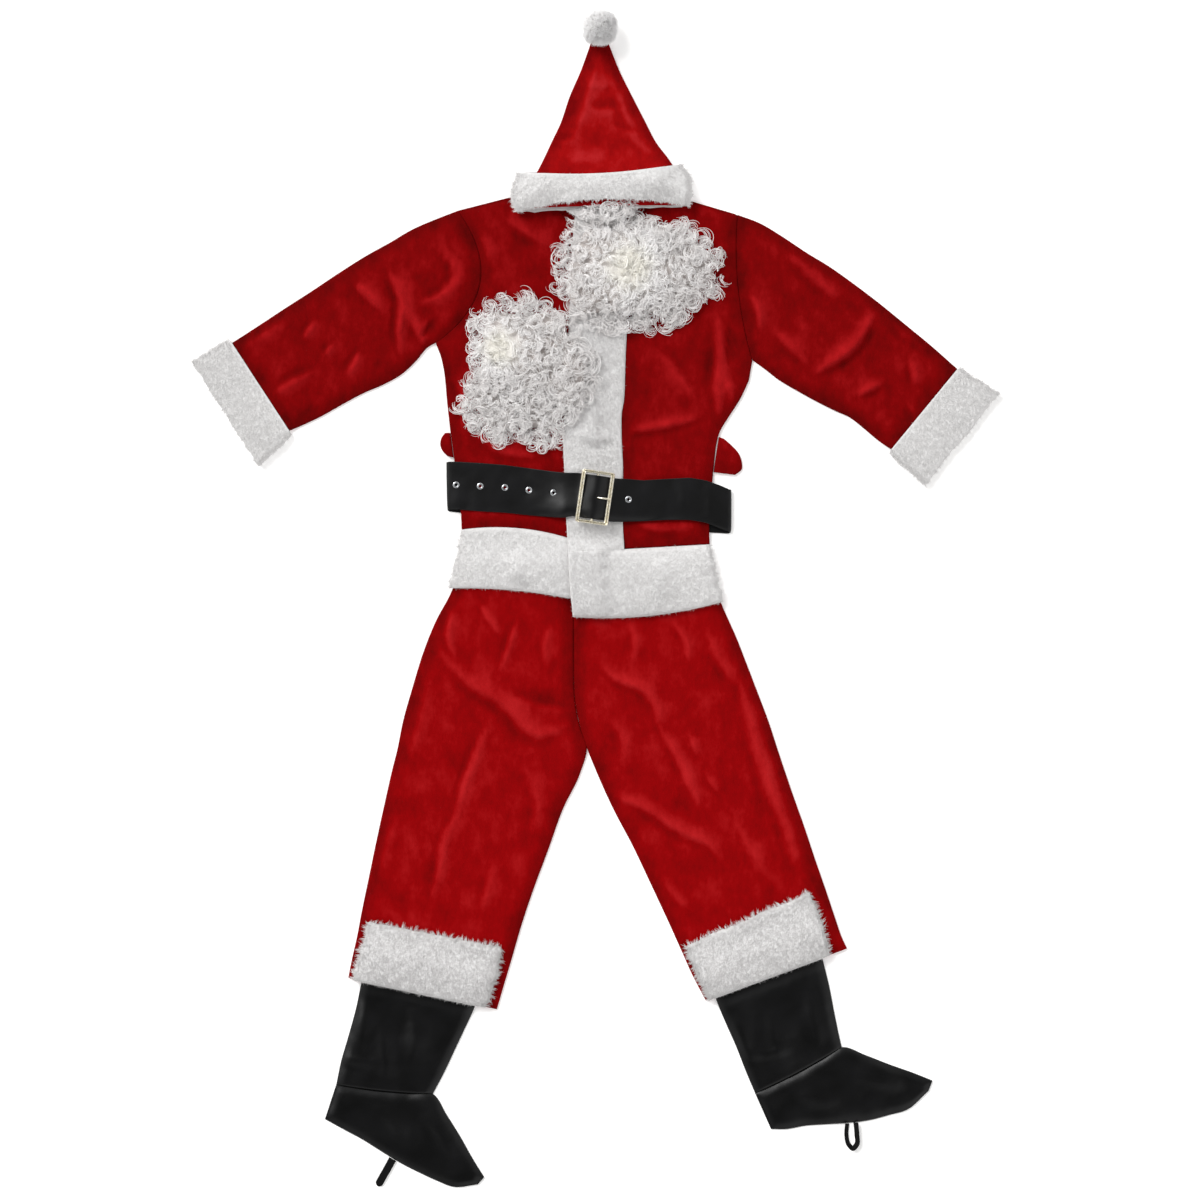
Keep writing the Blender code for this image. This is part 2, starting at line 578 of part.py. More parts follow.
def jacket_front(rows, side):
    """Sections of one front, from its side seam to its front edge."""
    if side == "right":
        return [Section(r.right_x, r.right_y, r.edge_r_x, r.edge_r_y) for r in rows]
    return [Section(r.edge_l_x, r.edge_l_y, r.left_x, r.left_y) for r in rows]


def placket_sections(rows):
    """The placket's seam is the left front's edge; its other edge is free."""
    heights = sorted(PLACKET_FREE_EDGE)
    sections = [PLACKET_TOP]
    for row in rows:
        if row.edge_l_x < PLACKET_TOP.bx + 1:
            y = row.edge_l_y if row is not rows[-1] else heights[0]
            x = float(np.interp(y, heights, [PLACKET_FREE_EDGE[height] for height in heights]))
            sections.append(Section(x, y, row.edge_l_x, row.edge_l_y))
    return sections


def flare_hem(sections, hem):
    """The last section takes the bow of the hem band that is sewn to it."""
    return sections[:-1] + [sections[-1]._replace(bow=hem.bow)]


def side_seam(rows, left, y):
    """How far out the side seam lies at a height."""
    heights = [-(row.left_y if left else row.right_y) for row in rows]
    return float(np.interp(-y, heights, [row.left_x if left else row.right_x for row in rows]))


def lay_belt_loop(name, table, left, collection):
    """A strip folded in half, with both ends sewn into the side seam."""
    sign = 1 if left else -1
    sections = [Section(row.fold_x, row.fold_y, side_seam(JACKET_BODY, left, row.seam_y) + sign * SEAM,
                        row.seam_y) for row in table]
    floor = Pile()
    lay_folded(name, sections, LOOP_COLUMNS, floor, "velour", collection, (VELOUR, VELOUR), both=False,
               crown=2.0)


# ---------------------------------------------------------------- belt and buckle
def in_buckle(across, along):
    """A place in the buckle's own directions: across its bars, and along them."""
    tilt = radians(BUCKLE["tilt"])
    return (BUCKLE_CENTRE[0] + across * cos(tilt) - along * sin(tilt),
            BUCKLE_CENTRE[1] + across * sin(tilt) + along * cos(tilt))


def neck_rows(places, width):
    """Strap sections that run along the buckle's bars."""
    return [Section(*in_buckle(place, width / 2), *in_buckle(place, -width / 2)) for place in places]


def turn(upper_out, upper_in, lower_out, lower_in, sign, steps=5):
    """Rows round a fold, from an upper row down to a lower one: outer and inner points."""
    outer, inner = [], []
    middle = (upper_out[:, 2] + lower_out[:, 2]) / 2
    radius_out = (upper_out[:, 2] - lower_out[:, 2]) / 2
    radius_in = (upper_in[:, 2] - lower_in[:, 2]) / 2
    for step in range(1, steps):
        share = step / steps
        angle = pi * share
        place = upper_out[:, :2] * (1 - share) + lower_out[:, :2] * share
        for rows, radius in ((outer, radius_out), (inner, radius_in)):
            x = place[:, 0] + sign * radius * sin(angle)
            rows.append(np.column_stack([x, place[:, 1], middle + radius * cos(angle)]))
    return outer, inner


def lay_belt(pile, suit, cutters):
    """One strap: its end under the buckle, round the back, and its tail through the buckle."""
    end_net = net_of(neck_rows(BELT_END_AT_BUCKLE, BELT_NECK - 4) + BELT_LEFT, BELT_COLUMNS, 1, 1)
    end_under = pile.rest(end_net)
    pile.cover(end_net, end_under + BELT)
    pile.close_layer()

    sections = BELT_RIGHT + neck_rows(BELT_AT_BUCKLE, BELT_NECK) + BELT_LEFT
    front_net = net_of(sections, BELT_COLUMNS)
    front_under = pile.rest(front_net)
    first = len(BELT_RIGHT)
    under_bars = [first + k for k, place in enumerate(BELT_AT_BUCKLE) if abs(place) > BUCKLE["width"] / 4]
    over_bar = [first + k for k, place in enumerate(BELT_AT_BUCKLE) if abs(place) < BUCKLE["width"] / 4]
    buckle_z = front_under[under_bars].max() + BELT + SEAM
    front_under[over_bar] = buckle_z + BUCKLE["thick"] + SEAM
    pile.cover(front_net, front_under + BELT)
    pile.close_layer()

    back_net = net_of(BELT_BACK, BELT_COLUMNS)
    end_out, end_in = raised(end_net, end_under + BELT), raised(end_net, end_under)
    back_out, back_in = raised(back_net, 0.0), raised(back_net, BELT)
    front_out, front_in = raised(front_net, front_under + BELT), raised(front_net, front_under)
    left_out, left_in = turn(end_out[-1], end_in[-1], back_out[0], back_in[0], 1)
    right_out, right_in = turn(front_out[0], front_in[0], back_out[-1], back_in[-1], -1)
    outer = np.concatenate([end_out, left_out, back_out, right_out[::-1], front_out])
    inner = np.concatenate([end_in, left_in, back_in, right_in[::-1], front_in])
    strap = solid("belt_strap", outer, inner, "belt", suit)

    holes = bmesh.new()
    for number, (x, y) in enumerate(EYELETS):
        top = pile.top_near(x, y, EYELET["flange"])
        bmesh.ops.create_cone(holes, cap_ends=True, segments=12, radius1=EYELET_HOLE * MM,
                              radius2=EYELET_HOLE * MM, depth=HOLE_DEPTH * MM,
                              matrix=Matrix.Translation(Vector((x, y, top)) * MM))
        make_eyelet(f"eyelet_{number + 1}", (x, y, top + SEAM), suit)
    slot_x, slot_y = in_buckle(PRONG_SLOT["middle"], 0)
    slot = Matrix.Translation(Vector((slot_x, slot_y, buckle_z - BELT - SEAM + PRONG_SLOT["high"] / 2)) * MM)
    slot @= Matrix.Rotation(radians(BUCKLE["tilt"]), 4, "Z")
    slot @= Matrix.Diagonal(Vector((PRONG_SLOT["long"], PRONG_SLOT["wide"], PRONG_SLOT["high"], 1000)) * MM)
    bmesh.ops.create_cube(holes, size=1, matrix=slot)
    punch = bpy.data.meshes.new("belt_holes")
    holes.to_mesh(punch)
    holes.free()
    cut(strap, guide("belt_holes", punch, cutters))
    make_buckle(buckle_z, suit, cutters)
    make_prong(buckle_z, suit)


def guide(name, mesh, cutters):
    """A cutter: it isn't part of the suit."""
    made = bpy.data.objects.new(name, mesh)
    made.hide_render = True
    made.display_type = "WIRE"
    cutters.objects.link(made)
    return made


def cut(target, cutter):
    """Takes the cutter's shape out of the target."""
    boolean = target.modifiers.new("cut_" + cutter.name, "BOOLEAN")
    boolean.operation = "DIFFERENCE"
    boolean.solver = "EXACT"
    boolean.object = cutter


def box(name, size, matrix):
    """A box mesh of a size in millimetres."""
    work = bmesh.new()
    bmesh.ops.create_cube(work, size=1, matrix=matrix @ Matrix.Diagonal((*(v * MM for v in size), 1)))
    mesh = bpy.data.meshes.new(name)
    work.to_mesh(mesh)
    work.free()
    return mesh


def make_buckle(buckle_z, suit, cutters):
    """A flat frame with a bar across its middle: a bevelled plate with two windows."""
    middle = Vector((*BUCKLE_CENTRE, buckle_z + BUCKLE["thick"] / 2)) * MM
    place = Matrix.Translation(middle) @ Matrix.Rotation(radians(BUCKLE["tilt"]), 4, "Z")
    plate = put("buckle_frame", box("buckle_frame", (BUCKLE["width"], BUCKLE["height"], BUCKLE["thick"]),
                                    Matrix.Identity(4)), "plated", suit)
    plate.matrix_world = place
    bevel = plate.modifiers.new("rounded", "BEVEL")
    bevel.width = BUCKLE["edge"] * MM
    bevel.segments = 2
    reach = BUCKLE["width"] / 2 - BUCKLE["bar"] - BUCKLE["centre_bar"] / 2
    off = (BUCKLE["width"] / 2 - BUCKLE["bar"] + BUCKLE["centre_bar"] / 2) / 2
    for side in (-1, 1):
        window = box("buckle_window", (reach, BUCKLE["height"] - 2 * BUCKLE["end_bar"], 3 * BUCKLE["thick"]),
                     Matrix.Identity(4))
        cutter = guide(f"buckle_window_{side}", window, cutters)
        cutter.matrix_world = place @ Matrix.Translation((side * off * MM, 0, 0))
        cut(plate, cutter)


def make_prong(buckle_z, suit):
    """A round pin from the centre bar, up through the strap's slot and onto the outer bar."""
    path = bpy.data.curves.new("buckle_prong", "CURVE")
    path.dimensions = "3D"
    path.bevel_depth = PRONG_RADIUS * MM
    path.bevel_resolution = 2
    path.use_fill_caps = True
    top = BUCKLE["thick"] + SEAM + PRONG_RADIUS
    start = BUCKLE["centre_bar"] / 2 + 2 * SEAM
    bar = BUCKLE["width"] / 2 - BUCKLE["bar"]
    stations = [(start, BUCKLE["thick"] / 2), (bar / 2, top * 0.68), (bar, top + 0.1),
                (bar + BUCKLE["bar"] * 0.9, top + 0.1)]
    line = path.splines.new("POLY")
    line.points.add(len(stations) - 1)
    for spot, (across, high) in zip(line.points, stations):
        spot.co = (*(v * MM for v in in_buckle(across, 0)), (buckle_z + high) * MM, 1)
    holder = bpy.data.objects.new("prong_path", path)
    bpy.context.scene.collection.objects.link(holder)
    bpy.context.view_layer.update()
    mesh = bpy.data.meshes.new_from_object(holder.evaluated_get(bpy.context.evaluated_depsgraph_get()))
    bpy.data.objects.remove(holder, do_unlink=True)
    work = bmesh.new()
    work.from_mesh(mesh)
    bmesh.ops.remove_doubles(work, verts=work.verts, dist=0.00001)
    bmesh.ops.recalc_face_normals(work, faces=work.faces)
    work.to_mesh(mesh)
    work.free()
    put("buckle_prong", mesh, "plated", suit)


def make_eyelet(name, place, suit):
    """A turned metal ring: a flange on the strap and a barrel in its hole."""
    flange, barrel, bore, thick = (EYELET[key] for key in ("flange", "barrel", "bore", "thick"))
    depth = BELT + SEAM - 0.1
    profile = [(bore, -depth), (barrel, -depth), (barrel, 0), (flange, 0), (flange - 0.7, thick),
               (bore, thick)]
    mesh = bpy.data.meshes.new(name)
    mesh.from_pydata([(r * MM, 0, z * MM) for r, z in profile], [(k, (k + 1) % 6) for k in range(6)], [])
    ring = put(name, mesh, "eyelet", suit)
    ring.location = Vector(place) * MM
    screw = ring.modifiers.new("turned", "SCREW")
    screw.steps = screw.render_steps = EYELET["sides"]
    screw.use_merge_vertices = True
    screw.merge_threshold = 0.00001
    screw.use_normal_flip = True


# ---------------------------------------------------------------- boot covers
def at_ankle(ankle, foot):
    """The foot's sections with their first ends on the shaft's last section."""
    seam = [point_on(ankle, share) for share in SHAFT_COLUMNS]
    return [row._replace(ax=x, ay=y) for row, (x, y) in zip(foot, seam)] + foot[len(seam):]


def make_flat_elastic(name, root, tip, width, suit):
    """An elastic loop that lies flat: a strip folded at its far end."""
    start, end = np.array(root, float), np.array(tip, float)
    along = (end - start) / np.linalg.norm(end - start)
    aside = np.array([-along[1], along[0]]) * width / 2
    sections = [Section(*(end + aside * k), *(start + aside * k)) for k in (-1, 0, 1)]
    lay_folded(name, sections, LOOP_COLUMNS, Pile(), "elastic", suit, (ELASTIC, ELASTIC), both=False)


def make_standing_elastic(name, path, height, lean, suit):
    """An elastic loop that stands on its edge: a band carried along a path."""
    line = np.array(path, float)
    ahead = np.gradient(line, axis=0)
    ahead /= np.linalg.norm(ahead, axis=1, keepdims=True)
    aside = np.stack([-ahead[:, 1], ahead[:, 0]], 1)
    outer, inner = [], []
    for share in (0, 0.5, 1):
        foot = line + aside * lean * share
        level = np.full((len(line), 1), height * share)
        outer.append(np.hstack([foot - aside * ELASTIC / 2, level]))
        inner.append(np.hstack([foot + aside * ELASTIC / 2, level]))
    solid(name, np.stack(outer, 1), np.stack(inner, 1), "elastic", suit)


# ---------------------------------------------------------------- hair
def make_curls(name, sections, columns, pile, suit, sizes, turn_way):
    """A padded backing with curled locks, each drawn out of one patch of its upper side."""
    net = net_of(sections, columns)
    rows, across = net.shape[:2]
    under = pile.rest(net)
    i, j = np.meshgrid(np.linspace(-1, 1, rows), np.linspace(-1, 1, across), indexing="ij")
    dome = np.clip(1 - np.maximum(np.abs(i), np.abs(j)) ** 2.4, 0, 1)
    top = under + sizes["edge"] + (sizes["middle"] - sizes["edge"]) * dome
    body = solid(name, raised(net, top), raised(net, under), "curls", suit)
    pile.cover(net, top)
    centre = net.reshape(-1, 2).mean(axis=0)
    work = bmesh.new()
    work.from_mesh(body.data)
    pairs = [edge for edge in work.edges if edge.is_manifold and is_patch_diagonal(edge)]
    bmesh.ops.dissolve_edges(work, edges=pairs, use_verts=False)
    patches = [face for face in work.faces if len(face.verts) == 4 and face.normal.z > 0.3]
    patches.sort(key=lambda face: (round(face.calc_center_median().x, 6), face.calc_center_median().y))
    for number, face in enumerate(patches):
        narrow = min(edge.calc_length() for edge in face.edges)
        parting = min(sizes["parting"] * MM, narrow * 0.3)
        bmesh.ops.inset_individual(work, faces=[face], thickness=parting, depth=0)
        draw_lock(work, face, centre, number, sizes, turn_way)
    work.to_mesh(body.data)
    work.free()


def is_patch_diagonal(edge):
    """Whether an edge is the diagonal of a patch on the upper side."""
    return all(face.normal.z > 0.3 for face in edge.link_faces) and all(
        edge.calc_length() >= other.calc_length() - 1e-9 for face in edge.link_faces for other in face.edges)


def draw_lock(work, face, centre, number, sizes, turn_way):
    """Draws a lock out of a face: it leans outwards, turns like a corkscrew and thins to its tip."""
    root = face.calc_center_median()
    outward = Vector((root.x / MM - centre[0], root.y / MM - centre[1], 0))
    reach = min(outward.length / sizes["half_width"], 1.0)
    outward.normalize()
    lean = outward * sizes["lean"] * reach ** 2
    length = sizes["length"] * (0.85 + 0.15 * cos(number * 2.4))
    offsets = [vert.co - root for vert in face.verts]
    start = sizes["turned"]
    for step in range(1, LOCK_STEPS + 1):
        share = step / LOCK_STEPS
        angle = start + turn_way * 2 * pi * 0.9 * share
        curl = Vector((cos(angle) - cos(start), sin(angle) - sin(start), 0)) * sizes["curl"] * share
        rise = Vector((0, 0, length * (1 - DROOP * reach ** 2 * share))) * share
        place = root + (lean * share + curl + rise) * MM
        grown = bmesh.ops.extrude_discrete_faces(work, faces=[face])["faces"][0]
        for vert, offset in zip(grown.verts, offsets):
            level = Vector((offset.x, offset.y, 0)).normalized()
            vert.co = place + offset.lerp(level * sizes["tip"] * MM, share)
        face = grown


# ---------------------------------------------------------------- the suit
def main():
    """Empties the scene and lays the suit."""
    for old in list(bpy.data.objects):
        bpy.data.objects.remove(old, do_unlink=True)
    suit = bpy.data.collections.new("santa_suit")
    cutters = bpy.data.collections.new("cutters")
    for collection in (suit, cutters):
        bpy.context.scene.collection.children.link(collection)
    pile = Pile()
    sleeves = lay_jacket_back(pile, suit)
    lay_trousers_and_boots(pile, suit)
    lay_jacket_front(pile, suit, sleeves)
    lay_hat(pile, suit)
    lay_belt(pile, suit, cutters)
    lay_hair(pile, suit)


def lay_jacket_back(pile, suit):
    """What lies on the floor: the belt's back, the jacket's back, sleeves and cuffs below."""
    strap = net_of(BELT_BACK, BELT_COLUMNS)
    pile.cover(strap, np.full(strap.shape[:2], BELT))
    pile.close_layer()
    lay_belt_loop("belt_loop_right", LOOP_RIGHT, False, suit)
    lay_belt_loop("belt_loop_left", LOOP_LEFT, True, suit)
    rows = jacket_rows()
    back = [Section(r.right_x, r.right_y, r.left_x, r.left_y) for r in rows]
    lay_sheet("jacket_back", back, WALL_COLUMNS, pile, "velour", suit, VELOUR)
    lay_sheet("hem_band_back", HEM_BACK, WALL_COLUMNS, pile, "plush", suit, PLUSH_PRESSED)
    tubes = {}
    for side, sleeve, cuff in (("right", other_way(SLEEVE_RIGHT), CUFF_RIGHT),
                               ("left", SLEEVE_LEFT, CUFF_LEFT)):
        tubes[side] = (Folded("sleeve_" + side, sleeve, ARMHOLE_COLUMNS, ARMHOLE_COLUMNS, True),
                       Folded("cuff_" + side, cuff, TRIM_COLUMNS, TRIM_COLUMNS, True))
        tubes[side][0].lay_lower(pile, VELOUR)
        tubes[side][1].lay_lower(pile, PLUSH_PRESSED)
    pile.close_layer()
    return tubes


def lay_trousers_and_boots(pile, suit):
    """Legs with the boot shafts between their walls, and the plush bands on their fronts."""
    legs = {"leg_right": Folded("trouser_leg_right", LEG_RIGHT, LEG_LOWER_COLUMNS, LEG_UPPER_COLUMNS, False),
            "leg_left": Folded("trouser_leg_left", LEG_LEFT, LEG_LOWER_COLUMNS, LEG_UPPER_COLUMNS, False)}
    for leg in legs.values():
        leg.lay_lower(pile, VELOUR)
    pile.close_layer()
    boots = []
    for side, shaft, foot in (("right", SHAFT_RIGHT, FOOT_RIGHT), ("left", SHAFT_LEFT, FOOT_LEFT)):
        boots.append((Folded("boot_shaft_" + side, shaft, SHAFT_COLUMNS, SHAFT_COLUMNS, True), 2.0))
        foot = at_ankle(shaft[-1], foot)
        boots.append((Folded("boot_foot_" + side, foot, SHAFT_COLUMNS, SHAFT_COLUMNS, False), 2.4))
    for boot, _ in boots:
        boot.lay_lower(pile, VINYL)
    pile.close_layer()
    for boot, crown in boots:
        boot.lay_upper(pile, VINYL, FLAT, crown)
        boot.build("vinyl", suit)
    pile.close_layer()
    make_flat_elastic("boot_elastic_right", *FLAT_ELASTIC, 13.0, suit)
    make_standing_elastic("boot_elastic_left", ELASTIC_PATH, 9.0, 3.0, suit)
    for leg in legs.values():
        leg.lay_upper(pile, VELOUR, LEG_CREASES, 2.2)
        leg.build("velour", suit)
    pile.close_layer()
    for side, band in (("right", LEG_BAND_RIGHT), ("left", LEG_BAND_LEFT)):
        lay_sheet("leg_band_" + side, band, TRIM_COLUMNS, pile, "plush", suit, (PLUSH, PLUSH_EDGE))
    pile.close_layer()


def lay_jacket_front(pile, suit, sleeves):
    """The right front first, then the left front with its placket over it."""
    rows = jacket_rows()
    plush = (PLUSH, PLUSH_EDGE)
    front = flare_hem(jacket_front(rows, "right"), HEM_RIGHT[0])
    lay_sheet("jacket_front_right", front, WALL_COLUMNS, pile, "velour", suit, VELOUR, JACKET_CREASES, 1.5)
    lay_sheet("hem_band_right", HEM_RIGHT, WALL_COLUMNS, pile, "plush", suit, plush)
    finish_sleeve(pile, suit, sleeves["right"])
    pile.close_layer()
    front = jacket_front(rows, "left")
    lay_sheet("jacket_front_left", front, WALL_COLUMNS, pile, "velour", suit, VELOUR, JACKET_CREASES, 1.5)
    lay_sheet("hem_band_left", HEM_LEFT, TRIM_COLUMNS, pile, "plush", suit, plush)
    lay_sheet("placket", placket_sections(rows), PLACKET_COLUMNS, pile, "plush", suit, plush)
    finish_sleeve(pile, suit, sleeves["left"])
    pile.close_layer()
    collar = Folded("collar", COLLAR, TRIM_COLUMNS, TRIM_COLUMNS, True)
    collar.lay_lower(pile, PLUSH_PRESSED)
    pile.close_layer()
    collar.lay_upper(pile, PLUSH_PRESSED)
    collar.build("plush", suit)
    pile.close_layer()


def finish_sleeve(pile, suit, tubes):
    """Lays the upper walls of a sleeve and its cuff."""
    sleeve, cuff = tubes
    sleeve.lay_upper(pile, VELOUR, SLEEVE_CREASES, 2.2)
    cuff.lay_upper(pile, PLUSH, FLAT, 0.5, PLUSH_EDGE)
    sleeve.build("velour", suit)
    cuff.build("plush", suit)


def lay_hat(pile, suit):
    """The plush band runs round both cloth pieces; the pompom lies at the tip."""
    band = Folded("hat_band", HAT_BAND_UNDER, TRIM_COLUMNS, TRIM_COLUMNS, True, HAT_BAND_OVER)
    band.lay_lower(pile, PLUSH_PRESSED)
    pile.close_layer()
    lay_sheet("hat_back", HAT, WALL_COLUMNS, pile, "velour", suit, VELOUR)
    pile.close_layer()
    front = HAT[:-1] + [HAT[-1]._replace(bow=HAT_FRONT_BOW)]
    lay_sheet("hat_front", front, WALL_COLUMNS, pile, "velour", suit, VELOUR, HAT_CREASES, 2.0)
    pile.close_layer()
    band.lay_upper(pile, PLUSH, FLAT, 0.5, PLUSH_EDGE)
    band.build("plush", suit)
    pile.close_layer()
    work = bmesh.new()
    bmesh.ops.create_icosphere(work, subdivisions=2, radius=POMPOM_RADIUS * MM)
    for vert in work.verts:
        unevenness = sin(vert.co.x * 310) * sin(vert.co.y * 290 + 1) * sin(vert.co.z * 270 + 2)
        vert.co *= 1 + 0.045 * unevenness
    low = min(vert.co.z for vert in work.verts)
    bmesh.ops.translate(work, verts=work.verts, vec=Vector((*POMPOM_PLACE, 0)) * MM - Vector((0, 0, low)))
    mesh = bpy.data.meshes.new("hat_pompom")
    work.to_mesh(mesh)
    work.free()
    put("hat_pompom", mesh, "plush", suit)


def lay_hair(pile, suit):
    """The beard, then the wig beside it."""
    make_curls("beard", BEARD, BEARD_COLUMNS, pile, suit, BEARD_SIZES, 1)
    pile.close_layer()
    make_curls("wig", WIG, WIG_COLUMNS, pile, suit, WIG_SIZES, -1)
    pile.close_layer()


main()
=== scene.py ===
"""Dresses a child's Santa suit that is laid out flat on its back.

Every cloth piece is cut from its pattern sections as a fine net, comes to rest on what lies below
it, and gets its folds, wall, nap or plush. Sizes are in millimetres until a mesh is built: +X is
the wearer's left, +Y points to the hat and +Z is up. "right" and "left" are the wearer's.
"""
from __future__ import annotations

import logging
from dataclasses import dataclass, field
from enum import Enum
from typing import NamedTuple, Sequence

import bmesh
import bpy
import numpy as np
from mathutils import Matrix, Vector
from numpy.typing import NDArray


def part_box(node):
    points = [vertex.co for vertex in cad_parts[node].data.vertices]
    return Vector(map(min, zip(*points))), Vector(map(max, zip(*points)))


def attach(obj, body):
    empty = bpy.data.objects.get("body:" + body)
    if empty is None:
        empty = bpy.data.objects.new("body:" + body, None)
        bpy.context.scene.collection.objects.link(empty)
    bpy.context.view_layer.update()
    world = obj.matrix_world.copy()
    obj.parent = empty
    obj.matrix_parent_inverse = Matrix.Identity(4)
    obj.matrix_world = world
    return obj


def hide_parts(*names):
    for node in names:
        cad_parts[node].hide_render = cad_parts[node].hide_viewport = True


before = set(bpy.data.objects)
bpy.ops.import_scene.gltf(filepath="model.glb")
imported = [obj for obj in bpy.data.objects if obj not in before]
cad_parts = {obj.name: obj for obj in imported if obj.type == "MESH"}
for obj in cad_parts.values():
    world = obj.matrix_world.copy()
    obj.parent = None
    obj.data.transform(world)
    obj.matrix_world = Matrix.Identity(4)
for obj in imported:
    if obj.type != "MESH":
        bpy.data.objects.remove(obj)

Array = NDArray[np.float64]
Piece = bpy.types.Object
Material = bpy.types.Material
Socket = bpy.types.NodeSocket
Settings = dict[str | int, object]
Look = tuple[Settings, Sequence[tuple[Socket, float]]]
log = logging.getLogger("santa_suit")

MM = 0.001
SEAM = 0.3                # air between two sheets
PLACKET_LAP = 2.0         # how far the placket runs onto the hem band that it is sewn to
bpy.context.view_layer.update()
UP = np.array([0.0, 0.0, 1.0])


# ---------------------------------------------------------------- pattern
class Section(NamedTuple):
    """A line across a sheet from edge a to edge b; bow is how far its middle stands to the left."""

    ax: float
    ay: float
    bx: float
    by: float
    bow: float = 0.0


class Fold(NamedTuple):
    """A soft ridge (height above 0) or trough (below 0) along a line of points."""

    width: float
    height: float
    line: Array


def sections(*rows: tuple[float, ...]) -> list[Section]:
    """Sections from rows of ax, ay, bx, by and, where it isn't straight, bow."""
    return [Section(*row) for row in rows]


def folds(*rows: tuple[float, ...]) -> list[Fold]:
    """Folds from rows of width, height, and the x and y of the line's points by turns."""
    return [Fold(row[0], row[1], np.array(row[2:], float).reshape(-1, 2)) for row in rows]


class Side(Enum):
    """The wearer's sides."""

    RIGHT = "right"
    LEFT = "left"


class Held(Enum):
    """How a sheet is held."""

    LAID = "laid"
    FOLDED = "folded"


@dataclass(frozen=True)
class BuckleSizes:
    """Where the buckle lies and how large it is."""

    x: float = 0.0
    y: float = 152.0
    width: float = 50.0
    height: float = 80.0
    bar: float = 6.5
    end_bar: float = 5.0
    centre_bar: float = 4.0
    thick: float = 3.2
    tilt: float = np.radians(-8.2)


BUCKLE = BuckleSizes()

ARMHOLE_RIGHT = Section(-206, 582, -239, 384, 51)
ARMHOLE_LEFT = Section(214, 576, 236, 358, -10)
ARMHOLE_FINE = 20         # stations along an armhole

JACKET_TOP = [            # neck and shoulders: x and y of the side seams, then of the front edges
    (-70, 614, 90, 614, -66, 608, 86, 608), (-124, 603, 146, 596, -62, 590, 81, 590),
]
JACKET_EDGES = [          # front edges at the armhole's rows
    (-48, 576, 69, 574), (-22, 566, 48, 562), (4, 536, 48, 530), (4, 494, 48, 488),
    (4, 452, 48, 446), (4, 412, 48, 404), (4, 376, 46, 366),
]
JACKET_BODY = [           # the same from armpit to hem band
    (-231, 364, 231, 328, 4, 346, 45, 332), (-226, 340, 219, 302, 3, 320, 44, 303),
    (-222, 298, 200, 272, 2, 284, 40, 276), (-218, 261, 186, 248, 0, 250, 40, 244),
    (-212, 216, 178, 196, 0, 207, 42, 200), (-206, 168, 174, 148, 2, 160, 42, 153),
    (-201, 129, 171, 112, 3, 116, 42, 106), (-200, 104, 172, 82, 6, 74, 44, 74.75),
]
HEM_BACK = sections((-200, 104, 172, 82), (-207, 64, 180, 46), (-219, 18, 190, -4))
HEM_RIGHT = sections((-200, 104, 6, 74, 15), (-208, 60, 8, 32, 10), (-219, 16, 9, -10, 8))
HEM_LEFT = sections((-40, 70, 172, 82), (-38, 24, 182, 40, -4), (-33, -27, 192, -4, -10))
PLACKET_TOP = Section(-28, 590, 48, 590)
PLACKET_FREE_EDGE = {     # height: how far the placket reaches over the other front
    562: -32, 494: -36, 404: -39, 321: -44, 234: -48, 194: -46, 134: -44, 70: -40,
}
COLLAR = sections((-64, 598, 84, 602, -36), (-66, 615, 86, 618, -18), (-68, 632, 87, 634, -3))
SLEEVE_RIGHT = [ARMHOLE_RIGHT] + sections(
    (-237, 570, -252, 376, 15), (-272, 555, -268, 357, 8), (-308, 534, -291, 336, 2),
    (-344, 514, -318, 321), (-382, 490, -346, 309), (-424, 462, -378, 292), (-466, 435, -410, 274),
    (-507, 408, -435, 262), (-544, 384, -458, 252),
)
SLEEVE_LEFT = [ARMHOLE_LEFT] + sections(
    (246, 564, 254, 345, -6), (280, 544, 276, 328, -3), (316, 520, 303, 312), (352, 498, 332, 296),
    (390, 471, 360, 282), (428, 442, 382, 272), (466, 411, 405, 254), (506, 378, 424, 238),
    (543, 345, 444, 224),
)
CUFF_RIGHT = sections(
    (-548, 390, -454, 246), (-566, 380, -465, 235), (-586, 369, -484, 218), (-605, 357, -504, 200),
)
CUFF_LEFT = sections(
    (546.5, 348.7, 440.5, 220.2), (562, 337, 453, 206), (586, 322, 474, 188), (606, 308, 494, 171),
)
LEG_RIGHT = sections(     # outer side fold, then centre seam and inseam
    (-200, 50, -32, 50), (-208, 28, -32, 21), (-219, 3, -32, -20), (-238, -32, -32, -62),
    (-256, -76, -32, -104), (-274, -134, -30, -152), (-288, -184, -22, -194), (-296, -224, -12, -224),
    (-304, -256, -22, -261), (-316, -309, -48, -315), (-328, -364, -70, -376), (-339, -417, -92, -435),
    (-350, -470, -111, -492), (-357, -507, -124, -537), (-364, -538, -135, -574),
    (-370, -568, -147, -615),
)
LEG_LEFT = sections(
    (176, 50, -32, 50), (180, 21, -32, 21), (190, -8, -32, -20), (212, -58, -32, -62),
    (228, -99, -32, -104), (246, -146, -30, -152), (261, -186, -22, -194), (274, -226, -12, -224),
    (282, -250, 6, -268), (297, -294, 28, -316), (314, -342, 56, -369), (330, -390, 84, -428),
    (348, -442, 111, -486), (360, -478, 129, -526), (370, -507, 147, -566), (378, -524, 166, -602),
)
LEG_BAND_RIGHT = sections((-338, -484, -141, -522), (-351, -528, -148, -570), (-362, -571, -165, -612))
LEG_BAND_LEFT = sections((321, -440, 135, -520), (339, -484, 153, -564), (352, -534, 171, -601))
